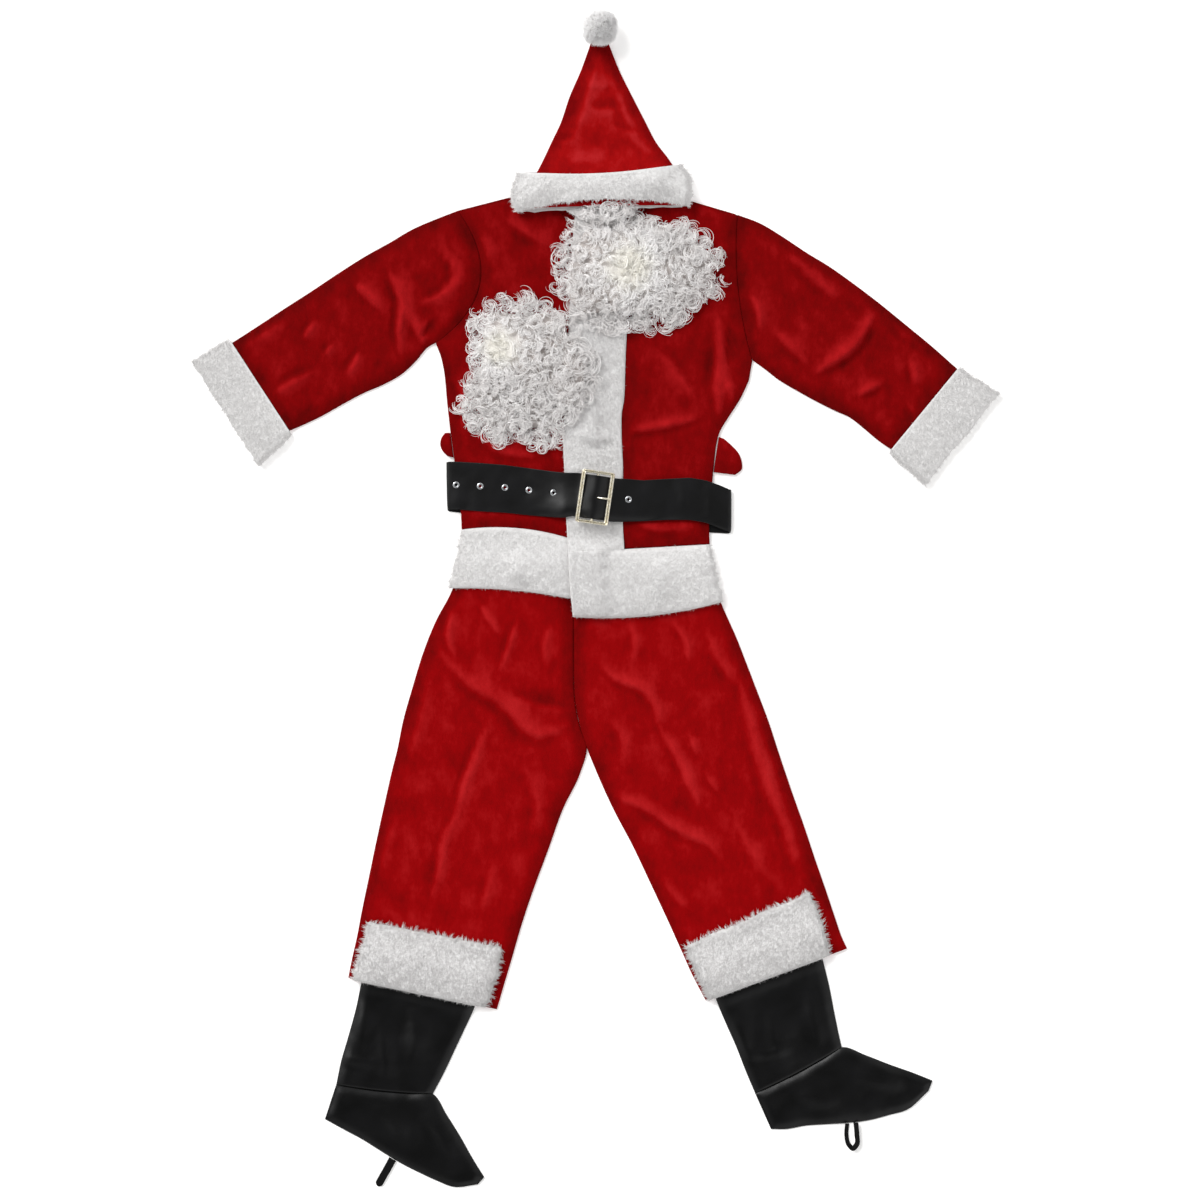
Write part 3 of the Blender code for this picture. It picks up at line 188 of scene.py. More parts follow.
HAT = sections(
    (-5, 836.8, 19, 836.6), (-22, 790, 38, 789), (-38, 753, 56, 753), (-52, 712, 75, 716),
    (-64, 687, 90, 687), (-81, 650, 111, 658), (-100, 614, 132, 621), (-110, 585, 138, 590),
)
HAT_FRONT_BOW = 10        # the front edge of the brim arches up
HAT_BAND_UNDER = sections(
    (-117, 639, 129, 651), (-124, 620, 142, 634), (-126, 598, 146, 614), (-118, 579, 142, 588),
)
HAT_BAND_OVER = [row._replace(bow=bow) for row, bow in zip(HAT_BAND_UNDER, (-9, -3, 6, 14))]
SHAFT_RIGHT = sections(   # boot shaft from its top edge, inside the trouser leg, to the ankle
    (-338, -536, -168, -576), (-350, -574, -182, -616), (-358, -612, -194, -642),
    (-370, -656, -210, -676), (-381, -694, -226, -710), (-388, -728, -243, -742, -3),
)
FOOT_RIGHT = sections(    # ankle seam or instep, then sole edge, from heel to toe
    (-388, -728.6, -405, -780), (-352, -736, -378, -795), (-315, -741, -350, -810),
    (-278, -744, -318, -830), (-242, -743, -288, -848), (-222, -774, -260, -862),
    (-202, -806, -236, -873), (-184, -838, -210, -882), (-166, -867, -176, -878),
)
SHAFT_LEFT = sections(
    (170, -564, 333, -502), (182, -602, 342, -542), (196, -636, 351, -579), (212, -672, 358, -615),
    (226, -708, 364, -645), (240, -741, 370, -672, -3),
)
FOOT_LEFT = sections(
    (240, -741.6, 264, -795), (273, -729, 288, -795), (306, -714, 316, -790), (339, -695, 346, -788),
    (370, -673, 376, -786), (406, -684, 410, -782), (442, -698, 441, -774), (476, -710, 470, -765),
    (506, -722, 500, -738),
)
LOOP_RIGHT = [            # belt loops: height on the side seam, then the folded edge's x and y
    (249, -225, 249), (242, -230, 242), (231, -232, 231), (220, -228, 221), (212, -221, 214),
]
LOOP_LEFT = [
    (243, 194, 240), (234, 204, 231), (222, 215, 219), (208, 220, 206), (198, 220, 194), (190, 210, 186),
]
BELT_RIGHT = sections(    # top and bottom edge of the strap from its fold to the buckle
    (-218, 206, -218, 134), (-208, 206, -208, 134), (-172, 204, -172, 131), (-135, 201, -135, 129),
    (-98, 196, -98, 125), (-62, 191, -64, 122), (-42, 189, -48, 121),
)
BELT_LEFT = sections(     # and from the buckle to its other fold
    (48, 180, 42, 115), (72, 178, 70, 116), (105, 180, 105, 118), (142, 182, 142, 118),
    (166, 178, 166, 114), (186, 171, 186, 106), (200, 165, 200, 101),
)
BELT_BACK = sections(
    (200, 162, 200, 98), (60, 174, 60, 106), (-100, 190, -100, 119), (-218, 203, -218, 131),
)
BELT_AT_BUCKLE = (-30, -25, -22, -19, -16, -11, -8, -5, -2, 0, 2, 5, 8, 11, 16, 19, 22, 25, 30)
BELT_END_AT_BUCKLE = (-8, 8, 20, 30)                     # the strap's other end, below
BELT_NECK = 66.0                                         # strap width inside the buckle
EYELETS = [(-208, 171), (-172, 169), (-135, 167), (-99, 163), (-62, 159), (50, 149)]
WIG = sections(
    (-14, 562, 122, 560), (-30, 544, 156, 541), (-42, 518, 178, 518), (-50, 488, 184, 492),
    (-54, 462, 174, 466), (-40, 436, 148, 442), (-22, 418, 114, 422),
)
BEARD = sections(
    (-160, 440, -68, 436), (-174, 416, -48, 420), (-178, 386, -26, 392), (-170, 352, -8, 358),
    (-180, 322, -6, 324), (-188, 290, -18, 296), (-174, 264, -42, 268), (-154, 244, -60, 246),
)
WIG_OUTLINE = [
    (-45, 561), (-30, 583.5), (68, 583.5), (83, 571.5), (105, 565.5), (157, 553.5), (175, 541.5),
    (190, 523.5), (196, 496.5), (190, 471), (184, 448.5), (157, 433.5), (135, 415.5), (90, 399),
    (45, 399), (-22, 396), (-52, 448.5), (-70, 463.5), (-62, 500), (-54, 535),
]
BEARD_OUTLINE = [
    (-188, 426), (-172, 436.5), (-160, 454.5), (-142, 459), (-60, 448.5), (-30, 403.5), (-8, 388.5),
    (5, 373.5), (8, 343.5), (5, 313.5), (-8, 291), (-22, 276), (-44, 253.5), (-45, 234), (-67, 220.5),
    (-90, 220.5), (-105, 235.5), (-128, 238.5), (-147, 223.5), (-172, 243), (-195, 253.5), (-207, 268.5),
    (-205.5, 298.5), (-199.5, 316.5), (-175.5, 343.5), (-187.5, 366), (-192, 411),
]

# Folds: soft ridges (height above 0) and troughs (below 0)
SLEEVE_FOLDS = {
    Side.RIGHT: folds(
        (7.7, 9.3, -310, 490, -290, 452, -293, 393, -290, 368),
        (6.5, 6.7, -285, 440, -260, 393, -250, 372),
        (7.7, 6.7, -228, 524, -207, 486, -225, 458, -262, 443),
        (7.1, 6.7, -359, 472, -340, 455, -321, 434), (5.8, 5.7, -420, 416, -428, 402, -437, 388),
        (5.2, 5.1, -393, 382, -399, 372, -405, 366), (6.5, 5.7, -352, 371, -362, 350, -371, 335),
        (7.7, 5.1, -420, 341, -452, 324, -483, 307), (8.4, 4.1, -455, 430, -500, 395, -530, 378),
        (5.8, -4.1, -240, 420, -252, 402, -262, 388),
    ),
    Side.LEFT: folds(
        (8.4, 8.4, 329, 338, 392, 384, 416, 428), (6.5, 5.7, 394, 306, 416, 317, 430, 324),
        (5.8, 5.1, 474, 360, 478, 338, 479, 320), (6.5, 6.7, 233, 456, 246, 428, 247, 404),
        (9.7, 5.1, 290, 520, 330, 480, 366, 452), (7.7, 5.1, 270, 400, 300, 372, 320, 350),
        (7.7, 4.1, 440, 420, 470, 396, 500, 372), (6.5, 4.1, 470, 290, 485, 272, 492, 262),
    ),
}
FRONT_FOLDS = {
    Side.RIGHT: folds(
        (6.5, 6.7, -186, 557, -163, 527, -166, 490), (5.8, 5.7, -189, 492, -176, 472, -168, 454),
        (5.2, 6.7, -216, 434, -217, 416, -216, 398), (5.8, -5.1, -228, 418, -229, 407, -228, 396),
        (9, 4.1, -134, 570, -104, 551, -72, 531), (7.7, 5.1, -205, 330, -196, 290, -200, 255),
        (7.7, 4.1, -180, 250, -140, 222, -90, 214), (6.5, 3.3, -190, 115, -150, 108, -110, 112),
    ),
    Side.LEFT: folds(
        (5.8, 5.7, 212, 536, 217, 525, 218, 514), (6.5, 6.7, 236, 453, 243, 429, 245, 406),
        (9, 6.7, 183, 423, 186, 372, 184, 320, 188, 269), (6.5, -5.1, 202, 408, 200, 378, 199, 350),
        (6.5, 5.7, 45, 250, 112, 261, 158, 272), (9, 3.3, 150, 300, 120, 340, 96, 372),
        (6.5, 3.3, 60, 112, 110, 104, 150, 110), (6.5, 4.1, 196, 330, 206, 300, 200, 272),
    ),
}
HEM_FOLDS = folds((16, 3.4, -110, 78, -116, 50, -112, 12), (18, 3.4, 90, 66, 96, 36, 92, 0))
PLACKET_FOLDS = folds(
    (14, 2.7, -6, 540, 4, 500, -2, 460), (14, 2.7, -12, 320, -2, 280, -8, 240),
    (9, 2.7, -34, 250, 0, 240, 36, 246),
)
LEG_FOLDS = {
    Side.RIGHT: folds(
        (6.7, 5.2, -158, -182, -179, -234, -198, -286, -210, -331),
        (6.7, 4.8, -205, -318, -226, -361, -233, -406, -245, -452),
        (5.5, 4.8, -213, -9, -219, -62, -207, -92), (5.5, 4, -172, -9, -156, -33, -142, -54),
        (5.5, 4.8, -117, -32, -128, -70, -142, -104), (6.2, 3.6, -66, -40, -76, -72, -70, -104),
        (10.4, 6.2, -232, -84, -172, -136, -142, -152, -82, -204, -38, -189),
        (9.2, -4, -127, -140, -84, -150, -40, -160), (8, 2.6, -252, -130, -262, -190, -276, -232),
        (8.5, 2.6, -100, -262, -84, -310, -96, -352), (8, 2.6, -300, -330, -316, -372, -322, -420),
        (7.4, 2.6, -150, -390, -158, -430, -172, -468),
    ),
    Side.LEFT: folds(
        (7.4, 5.2, 8, -99, 38, -122, 75, -137, 90, -160, 98, -196),
        (7.4, 4.8, 98, -196, 128, -242, 143, -279, 158, -314),
        (8.5, 5.2, 22, -294, 68, -309, 128, -346, 172, -368, 195, -398),
        (10.4, 4.8, 218, -122, 248, -241, 292, -361, 308, -421),
        (5.5, 3.6, 142, -204, 148, -220, 153, -234), (5.5, 3.2, 167, -264, 178, -280, 188, -291),
        (6.2, 3.6, 52, -36, 60, -64, 56, -92), (6.2, 3.6, 118, -36, 136, -62, 140, -92),
        (8, 3.2, 170, -50, 186, -90, 206, -124), (8.5, 2.6, 30, -180, 44, -216, 40, -252),
        (8.5, 2.6, 210, -330, 236, -380, 262, -420), (7.4, 2.6, 100, -420, 128, -452, 150, -470),
    ),
}
BOOT_FOLDS = {
    Side.RIGHT: folds(
        (14, 2.4, -350, -604, -347, -640, -353, -684), (16, 3.0, -322, -640, -316, -684, -312, -722),
        (18, 3.0, -276, -612, -270, -662, -280, -706), (9, 2.0, -382, -688, -350, -694, -322, -698),
        (14, 3.0, -330, -760, -300, -788, -288, -812), (14, 2.8, -262, -770, -232, -800, -214, -838),
    ),
    Side.LEFT: folds(
        (14, 2.4, 210, -622, 222, -660, 236, -692), (18, 3.0, 262, -612, 268, -660, 282, -704),
        (16, 3.0, 318, -590, 328, -632, 338, -668), (9, 2.0, 230, -684, 262, -682, 292, -674),
        (14, 3.0, 300, -745, 340, -750, 372, -764), (14, 2.8, 390, -712, 430, -724, 462, -730),
    ),
}
HAT_FOLDS = folds(
    (7.2, -2.2, -14, 742, 14, 738, 42, 741), (5.4, -2, -56, 688, -44, 691, -32, 694),
    (6.3, -2.2, 24, 713, 46, 706, 68, 700), (6.3, 1.8, -20, 772, 6, 768, 30, 773),
    (7.6, 2.8, 2, 800, -12, 740, -30, 690), (8.2, 2.8, 22, 785, 44, 735, 62, 690),
    (8.2, 1.8, -60, 668, -20, 658, 20, 664), (6.8, 1.8, 48, 700, 74, 676, 96, 668),
)
BELT_FOLDS = folds(
    (5, 1.5, -181, 196, -176, 170, -183, 142), (5, 1.6, -144, 198, -152, 170, -160, 142),
    (6, -1.0, -164, 190, -158, 170, -166, 150), (7, 1.0, -96, 190, -102, 162, -98, 132),
    (7, 1.5, 126, 178, 131, 148, 126, 120), (7, 1.2, 164, 176, 172, 146, 168, 114),
    (9, 1.0, 72, 174, 80, 150, 76, 122),
)


# ---------------------------------------------------------------- plan nets
def cubic(points: Array, at: Array, new: Array) -> Array:
    """The smooth curve through rows of values.

    Between two rows it is the cubic whose ends and end slopes are those of the rows; a slope is
    the difference of the rows on both sides over their distance.

    Args:
        points: One row of values per station.
        at: How far along each station lies.
        new: Where the curve is read.

    Returns:
        One row of values for each new place.
    """
    slope = np.gradient(points, at, axis=0) if len(at) > 2 else np.diff(points, axis=0)[[0, 0]] / at[-1]
    left = np.clip(np.searchsorted(at, new, side="right") - 1, 0, len(at) - 2)
    width = (at[left + 1] - at[left])[:, None]
    t = (new - at[left])[:, None] / width
    return ((2 * t**3 - 3 * t**2 + 1) * points[left] + (t**3 - 2 * t**2 + t) * width * slope[left]
            + (3 * t**2 - 2 * t**3) * points[left + 1] + (t**3 - t**2) * width * slope[left + 1])


def passed(steps: Array) -> Array:
    """How far along each station lies, from the steps between stations."""
    return np.concatenate([[0.0], np.cumsum(steps)])


def lengths(vectors: Array) -> Array:
    """Lengths of vectors held along the last axis."""
    return np.linalg.norm(vectors, axis=-1)


def unit(vectors: Array, least: float = 1e-9) -> Array:
    """Vectors divided by their lengths; one shorter than least isn't stretched to full length."""
    return vectors / np.maximum(np.linalg.norm(vectors, axis=-1, keepdims=True), least)


def hermite(points: Array, spacing: float) -> Array:
    """Section or jacket rows, whose first four values are both ends' x and y, at even steps."""
    steps = np.diff(points[:, :4], axis=0)
    at = passed(np.hypot(steps[:, 0::2], steps[:, 1::2]).mean(axis=1))
    return cubic(points, at, np.linspace(0, at[-1], max(int(np.ceil(at[-1] / spacing)), 2) + 1))


def hermite_line(points: Array, spacing: float) -> Array:
    """A smooth line through points, at even steps."""
    at = passed(lengths(np.diff(points, axis=0)))
    return cubic(points, at, np.linspace(0, at[-1], int(at[-1] / spacing) + 2))


def on_bow(section: Section, shares: Array) -> Array:
    """Points along one bowed section."""
    return plan(np.array([section], float), shares)[0]


def plan(rows: Array, shares: Array) -> Array:
    """The net of points over section rows.

    A point is the chord's point at its share s plus 4 s (1 - s) times the bow along the normal.

    Args:
        rows: Section values (ax, ay, bx, by, bow), one row each.
        shares: Shares of the way from a to b.

    Returns:
        Rows by columns of x and y.
    """
    start, chord = rows[:, None, :2], rows[:, None, 2:4] - rows[:, None, :2]
    length = np.maximum(np.hypot(chord[..., 0], chord[..., 1]), 1e-6)
    normal = np.stack([-chord[..., 1], chord[..., 0]], -1) / length[..., None]
    share = shares[None, :, None]
    return start + chord * share + normal * rows[:, None, 4:5] * 4 * share * (1 - share)


def stations(length: float, spacing: float, fine: Sequence[float] = (0.0, 1.2, 2.8, 5.0)) -> Array:
    """Shares from 0 to 1 that lie closer together near both ends."""
    ends = np.array([step for step in fine if step < length * 0.2])
    first, last = ends[-1], length - ends[-1]
    middle = np.linspace(first, last, max(int(round((last - first) / spacing)), 1) + 1)
    return np.concatenate([ends[:-1], middle, length - ends[:-1][::-1]]) / length


def edge_steps(rows: Array) -> Array:
    """Twice the mean of both edges' steps between section rows."""
    return np.hypot(*np.diff(rows[:, :2], axis=0).T) + np.hypot(*np.diff(rows[:, 2:4], axis=0).T)


def cut_from(pattern: Sequence[Section], spacing: float, across: float = 0.0, smooth: bool = True) -> Array:
    """The plan net of a sheet.

    Args:
        pattern: The sheet's sections from one of its ends to the other.
        spacing: Distance between rows.
        across: Distance between columns; 0 takes the rows' spacing.
        smooth: Whether a curve, and not straight lines, joins the sections.

    Returns:
        Rows by columns of x and y, with fine rows and columns at the outline.
    """
    table = np.array(pattern, float)
    dense = hermite(table, 2.0) if smooth else straight(table, 2.0)
    at = passed(edge_steps(dense) / 2)
    rows = stations(at[-1], spacing) * at[-1]
    picked = np.stack([np.interp(rows, at, column) for column in dense.T], 1)
    width = np.hypot(table[:, 2] - table[:, 0], table[:, 3] - table[:, 1]).mean()
    return plan(picked, stations(width, across or spacing))


def straight(points: Array, spacing: float) -> Array:
    """Reads straight lines between rows of values at about even steps, the rows among them."""
    at = passed(np.maximum(edge_steps(points) / 2, 1e-3))
    new = np.unique(np.concatenate([at, np.arange(0, at[-1], spacing)]))
    return np.stack([np.interp(new, at, column) for column in points.T], 1)


def pulled_in(net: Array, at_a: float, at_b: float, at_first: float = 0.0, at_last: float = 0.0) -> Array:
    """The net with its rim moved inwards by a distance on each side.

    Every point keeps its share of the way, measured between the moved rims.
    """
    moved = shortened(net, at_a, at_b)
    return shortened(moved.swapaxes(0, 1), at_first, at_last).swapaxes(0, 1)


def shortened(net: Array, at_start: float, at_end: float) -> Array:
    """The net with each row's ends moved inwards along the row: x' = x(s'), with s' squeezed."""
    if at_start == 0 and at_end == 0:
        return net
    along = passed_rows(net)
    total = along[:, -1:]
    wanted = at_start + along * (total - at_start - at_end) / np.maximum(total, 1e-6)
    index = np.clip((along[:, None, :] <= wanted[:, :, None]).sum(axis=2) - 1, 0, net.shape[1] - 2)
    rows = np.arange(len(net))[:, None]
    low, high = along[rows, index], along[rows, index + 1]
    t = ((wanted - low) / np.maximum(high - low, 1e-9))[..., None]
    return net[rows, index] * (1 - t) + net[rows, index + 1] * t


def passed_rows(net: Array) -> Array:
    """How far along its row each point of a net lies."""
    steps = lengths(np.diff(net, axis=1))
    return np.concatenate([np.zeros((len(net), 1)), np.cumsum(steps, axis=1)], 1)


def rim_distance(net: Array, a: bool = True, b: bool = True, first: bool = True, last: bool = True) -> Array:
    """How far each point lies from the nearest of the chosen rims, along rows and columns."""
    along, down = passed_rows(net), passed_rows(net.swapaxes(0, 1)).T
    reach = np.full(net.shape[:2], 1e3)
    for wanted, distance in ((a, along), (b, along[:, -1:] - along), (first, down), (last, down[-1:] - down)):
        if wanted:
            reach = np.minimum(reach, distance)
    return reach


def rounded(distance: Array, radius: float) -> Array:
    """A rounded edge: a quarter of an ellipse from 0 at the rim to 1 at the radius."""
    return np.sqrt(1 - (1 - np.clip(distance / radius, 0, 1)) ** 2)


def fold_height(net: Array, creases: Sequence[Fold]) -> Array:
    """Height of the folds at each point of a net.

    Across a fold the height is a bell curve, half as wide on its steep side and with a shallow
    trough beside it; along the fold it swells from its ends. Folds add up.
    """
    lift = np.zeros(net.shape[:2])
    for fold in creases:
        aside, share = beside_line(net, hermite_line(fold.line, 9.0))
        swell = np.sin(np.pi * np.clip(0.02 + 0.96 * share, 0, 1)) ** 0.85
        size = fold.width * (0.6 + 0.4 * swell)
        width = size * np.where(aside > 0, 1.3, 0.6)
        trough = 0.28 * np.exp(-(((aside + 1.5 * size) / (0.7 * size)) ** 2))
        lift += fold.height * swell * (np.exp(-(np.abs(aside / width) ** 1.4)) - trough)
    return lift


def beside_line(net: Array, line: Array) -> tuple[Array, Array]:
    """How far each point of a net lies beside a line of points, and where along it.

    Returns:
        The distance, positive on the left of the line, and the share of the line's length.
    """
    best = np.full(net.shape[:2], np.inf)
    aside, along = np.zeros(net.shape[:2]), np.zeros(net.shape[:2])
    steps = np.diff(line, axis=0)
    sizes = np.hypot(*steps.T)
    before = passed(sizes)
    for start, step, size, so_far in zip(line, steps, sizes, before):
        relative = net - start
        t = np.clip(relative @ step / size**2, 0, 1)
        distance = lengths(relative - t[..., None] * step)
        cross = step[0] * relative[..., 1] - step[1] * relative[..., 0]
        nearer = distance < best
        best = np.where(nearer, distance, best)
        aside = np.where(nearer, np.sign(cross) * distance, aside)
        along = np.where(nearer, so_far + t * size, along)
    return aside, along / before[-1]


def smooth_step(share: Array) -> Array:
    """0 at 0, 1 at 1, level at both ends."""
    share = np.clip(share, 0, 1)
    return share * share * (3 - 2 * share)


def waves(net: Array, size: float, seed: float) -> Array:
    """A gentle unevenness from -1 to 1: the mean of three crossed sine waves of unlike lengths."""
    x, y = net[..., 0] / size, net[..., 1] / size
    return (
        np.sin(6.3 * x + 2.1 * y + seed) * np.cos(2.7 * y - 1.4 * x + 2 * seed)
        + np.sin(4.1 * y - 3.2 * x + 3 * seed)
        + np.sin(9.1 * x + 7.7 * y + 5 * seed) * 0.6
    ) / 2.6


def bridged(height: Array, reach: int) -> Array:
    """A stiff cloth spans steps below it: the highest row within reach, then the rows' mean."""
    window = np.clip(np.arange(len(height))[:, None] + np.arange(-reach, reach + 1), 0, len(height) - 1)
    return np.maximum(height[window].max(axis=1)[window].mean(axis=1), height)


def at_height(net: Array, height: Array) -> Array:
    """Net points with their heights."""
    return np.dstack([net, height])


def blend(grid: Array, i: Array, j: Array, u: Array, v: Array) -> Array:
    """A grid read inside its cells (i, j), at shares u and v, by linear weights of four corners."""
    return (grid[i, j] * (1 - u) * (1 - v) + grid[i + 1, j] * u * (1 - v)
            + grid[i, j + 1] * (1 - u) * v + grid[i + 1, j + 1] * u * v)


# ---------------------------------------------------------------- what the tables spell out
def jacket_rows() -> Array:
    """All rows of the jacket: neck and shoulders, armholes as fine arcs, side seams.

    Returns:
        One row per station: right x, y, left x, y, right front's edge x, y, left front's x, y.
    """
    shares = np.linspace(0, 1, ARMHOLE_FINE + 1)
    coarse = np.linspace(0, 1, len(JACKET_EDGES))
    edges = np.stack([np.interp(shares, coarse, column) for column in np.array(JACKET_EDGES, float).T], 1)
    arms = np.hstack([on_bow(ARMHOLE_RIGHT, shares), on_bow(ARMHOLE_LEFT, shares), edges])
    return np.vstack([np.array(JACKET_TOP, float), arms, hermite(np.array(JACKET_BODY, float), 12.0)])


def as_sections(rows: Array, start: slice, end: slice, last_bow: float = 0.0) -> list[Section]:
    """Sections between two columns of the jacket's rows; the last one may be bowed."""
    made = [Section(*row[start], *row[end]) for row in rows]
    return made[:-1] + [made[-1]._replace(bow=last_bow)]


def placket_sections(rows: Array) -> list[Section]:
    """The placket's seam is the left front's edge; its other edge is free."""
    heights = sorted(PLACKET_FREE_EDGE)
    reach = [PLACKET_FREE_EDGE[height] for height in heights]
    made = [PLACKET_TOP]
    for number, row in enumerate(rows):
        if row[6] < PLACKET_TOP.bx + 1:
            y = row[7] if number < len(rows) - 1 else heights[0] - PLACKET_LAP
            made.append(Section(float(np.interp(y, heights, reach)), y, row[6], row[7]))
    return made


def other_way(pattern: Sequence[Section]) -> list[Section]:
    """The same sections from b to a."""
    return [Section(s.bx, s.by, s.ax, s.ay, -s.bow) for s in pattern]


def at_ankle(ankle: Section, foot: Sequence[Section]) -> list[Section]:
    """The foot's sections with their first ends on the shaft's last section."""
    seam = on_bow(ankle, np.linspace(0, 1, 5))
    return [row._replace(ax=x, ay=y) for row, (x, y) in zip(foot, seam)] + list(foot[5:])


def loop_sections(side: Side) -> list[Section]:
    """A belt loop's sections from its folded edge to the side seam."""
    left = side is Side.LEFT
    seam = np.array(JACKET_BODY, float)[:, 2:4] if left else np.array(JACKET_BODY, float)[:, :2]
    air = SEAM if left else -SEAM
    return [Section(fold_x, fold_y, float(np.interp(-seam_y, -seam[:, 1], seam[:, 0])) + air, seam_y)
            for seam_y, fold_x, fold_y in (LOOP_LEFT if left else LOOP_RIGHT)]


def in_buckle(places: Array) -> Array:
    """Places given across the buckle's bars and along them, turned and moved into the plan."""
    across, along = places[..., 0], places[..., 1]
    return np.stack([BUCKLE.x + across * np.cos(BUCKLE.tilt) - along * np.sin(BUCKLE.tilt),
                     BUCKLE.y + across * np.sin(BUCKLE.tilt) + along * np.cos(BUCKLE.tilt)], -1)


def neck_rows(places: Sequence[float], width: float) -> list[Section]:
    """Strap sections that run along the buckle's bars."""
    ends = in_buckle(np.array([[(place, width / 2), (place, -width / 2)] for place in places]))
    return [Section(*pair.ravel()) for pair in ends]


# ---------------------------------------------------------------- the pile
class Pile:
    """The height of all that lies so far, on a square raster over the floor."""

    CELL = 2.5
    HALF_X = 640.0
    HALF_Y = 910.0
    SAG = 0.035               # how fast a tented sheet comes down, per cell

    def __init__(self) -> None:
        """Starts with a bare floor."""
        shape = (int(2 * self.HALF_X / self.CELL), int(2 * self.HALF_Y / self.CELL))
        self.top = np.zeros(shape)
        self.layer = np.zeros(shape)

    def place(self, net: Array) -> tuple[Array, Array]:
        """Raster coordinates of a net's points, in cells."""
        return (net[..., 0] + self.HALF_X) / self.CELL - 0.5, (net[..., 1] + self.HALF_Y) / self.CELL - 0.5

    def read(self, raster: Array, net: Array) -> Array:
        """The raster between its cells at a net's points."""
        x, y = self.place(net)
        i = np.clip(np.floor(x).astype(int), 0, raster.shape[0] - 2)
        j = np.clip(np.floor(y).astype(int), 0, raster.shape[1] - 2)
        return blend(raster, i, j, np.clip(x - i, 0, 1), np.clip(y - j, 0, 1))

    def marked(self, spots: Array, levels: Array, empty: float = -1.0) -> Array:
        """A raster of the highest level marked in each cell, and empty elsewhere."""
        x, y = self.place(spots)
        raster = np.full(self.top.shape, empty)
        np.maximum.at(raster, (np.rint(x).astype(int), np.rint(y).astype(int)), levels)
        return raster

    def stamp(self, net: Array, height: Array) -> Array:
        """A raster of a sheet's heights, -1 where it doesn't lie."""
        points = at_height(net, height)
        counts = [max(int(np.ceil(lengths(np.diff(net, axis=axis)).max() / (self.CELL * 0.6))), 1)
                  for axis in (0, 1)]
        for axis, count in enumerate(counts):
            last = points.shape[axis] - 1
            new = np.linspace(0, last, last * count + 1)
            low = np.clip(np.floor(new).astype(int), 0, last - 1)
            t = (new - low).reshape((-1, 1, 1) if axis == 0 else (1, -1, 1))
            points = np.take(points, low, axis) * (1 - t) + np.take(points, low + 1, axis) * t
        return self.marked(points, points[..., 2])

    def cover(self, net: Array, height: Array) -> None:
        """Adds a sheet to the layer that is being laid."""
        self.layer = np.maximum(self.layer, self.stamp(net, height))

    def close_layer(self) -> None:
        """The layer is done: what comes next rests on it."""
        self.top = np.maximum(self.top, self.layer)

    def settle(self, net: Array, rounds: int = 220) -> Array:
        """Lets a sheet come to rest on the pile.

        The sheet starts on the highest cell of its nearest nine. In every round each cell takes
        the mean of its four neighbours less a little sag, but stays above the pile.

        Args:
            net: The sheet's plan.
            rounds: How often the sheet is eased.

        Returns:
            The height of its underside at the net's points.
        """
        shape = self.stamp(net, np.zeros(net.shape[:2])) >= 0
        used = np.argwhere(shape)
        (x0, y0), (x1, y1) = used.min(axis=0) - 3, used.max(axis=0) + 4
        mask = widened(shape[x0:x1, y0:y1].astype(float)) > 0
        ground = widened(self.top[x0:x1, y0:y1])
        ground = np.where(ground > 0.01, ground + SEAM, 0.0)
        height = np.where(mask, ground, 0.0)
        count = around(mask.astype(float))
        for _ in range(rounds):
            mean = around(height * mask) / np.maximum(count, 1)
            height = np.where(mask, np.maximum(ground, mean - self.SAG), 0.0)
        filled = height.copy()
        for _ in range(2):
            filled = np.where(filled > 0, filled, widened(filled) * ~mask)
        whole = np.zeros_like(self.top)
        whole[x0:x1, y0:y1] = np.where(mask, height, filled)
        return self.read(whole, net)


def around(raster: Array) -> Array:
    """The sum of each cell's four neighbours."""
    return sum(np.roll(raster, 1 if step % 2 else -1, axis=step // 2) for step in range(4))


def widened(raster: Array) -> Array:
    """Each cell takes the highest of its nearest nine."""
    for axis in (0, 1):
        raster = np.maximum(raster, np.maximum(np.roll(raster, 1, axis), np.roll(raster, -1, axis)))
    return raster


# ---------------------------------------------------------------- meshes
def linked(name: str, data: bpy.types.ID) -> bpy.types.Object:
    """An object of the scene that holds some data."""
    made = bpy.data.objects.new(name, data)
    bpy.context.scene.collection.objects.link(made)
    return made


def make_object(name: str, points: Array, faces: Array, material: Material) -> Piece:
    """Builds a smooth mesh object from points in millimetres.

    Args:
        name: The piece's name.
        points: One row for each point.
        faces: One row of point numbers for each face, all of the same length.
        material: The finish.

    Returns:
        The object, linked to the scene, at the origin.
    """
    mesh = bpy.data.meshes.new(name)
    mesh.vertices.add(len(points))
    mesh.vertices.foreach_set("co", (points * MM).astype(np.float32).ravel())
    mesh.loops.add(faces.size)
    mesh.loops.foreach_set("vertex_index", faces.astype(np.int32).ravel())
    mesh.polygons.add(len(faces))
    mesh.polygons.foreach_set("loop_start", np.arange(0, faces.size, faces.shape[1], dtype=np.int32))
    mesh.polygons.foreach_set("use_smooth", np.ones(len(faces), bool))
    mesh.update(calc_edges=True)
    mesh.validate()
    mesh.materials.append(material)
    return linked(name, mesh)


def give_attribute(made: Piece, name: str, values: Array) -> None:
    """Stores one number for each point of a mesh."""
    layer = made.data.attributes.new(name, "FLOAT", "POINT")
    layer.data.foreach_set("value", np.ascontiguousarray(values, dtype=np.float32).ravel())


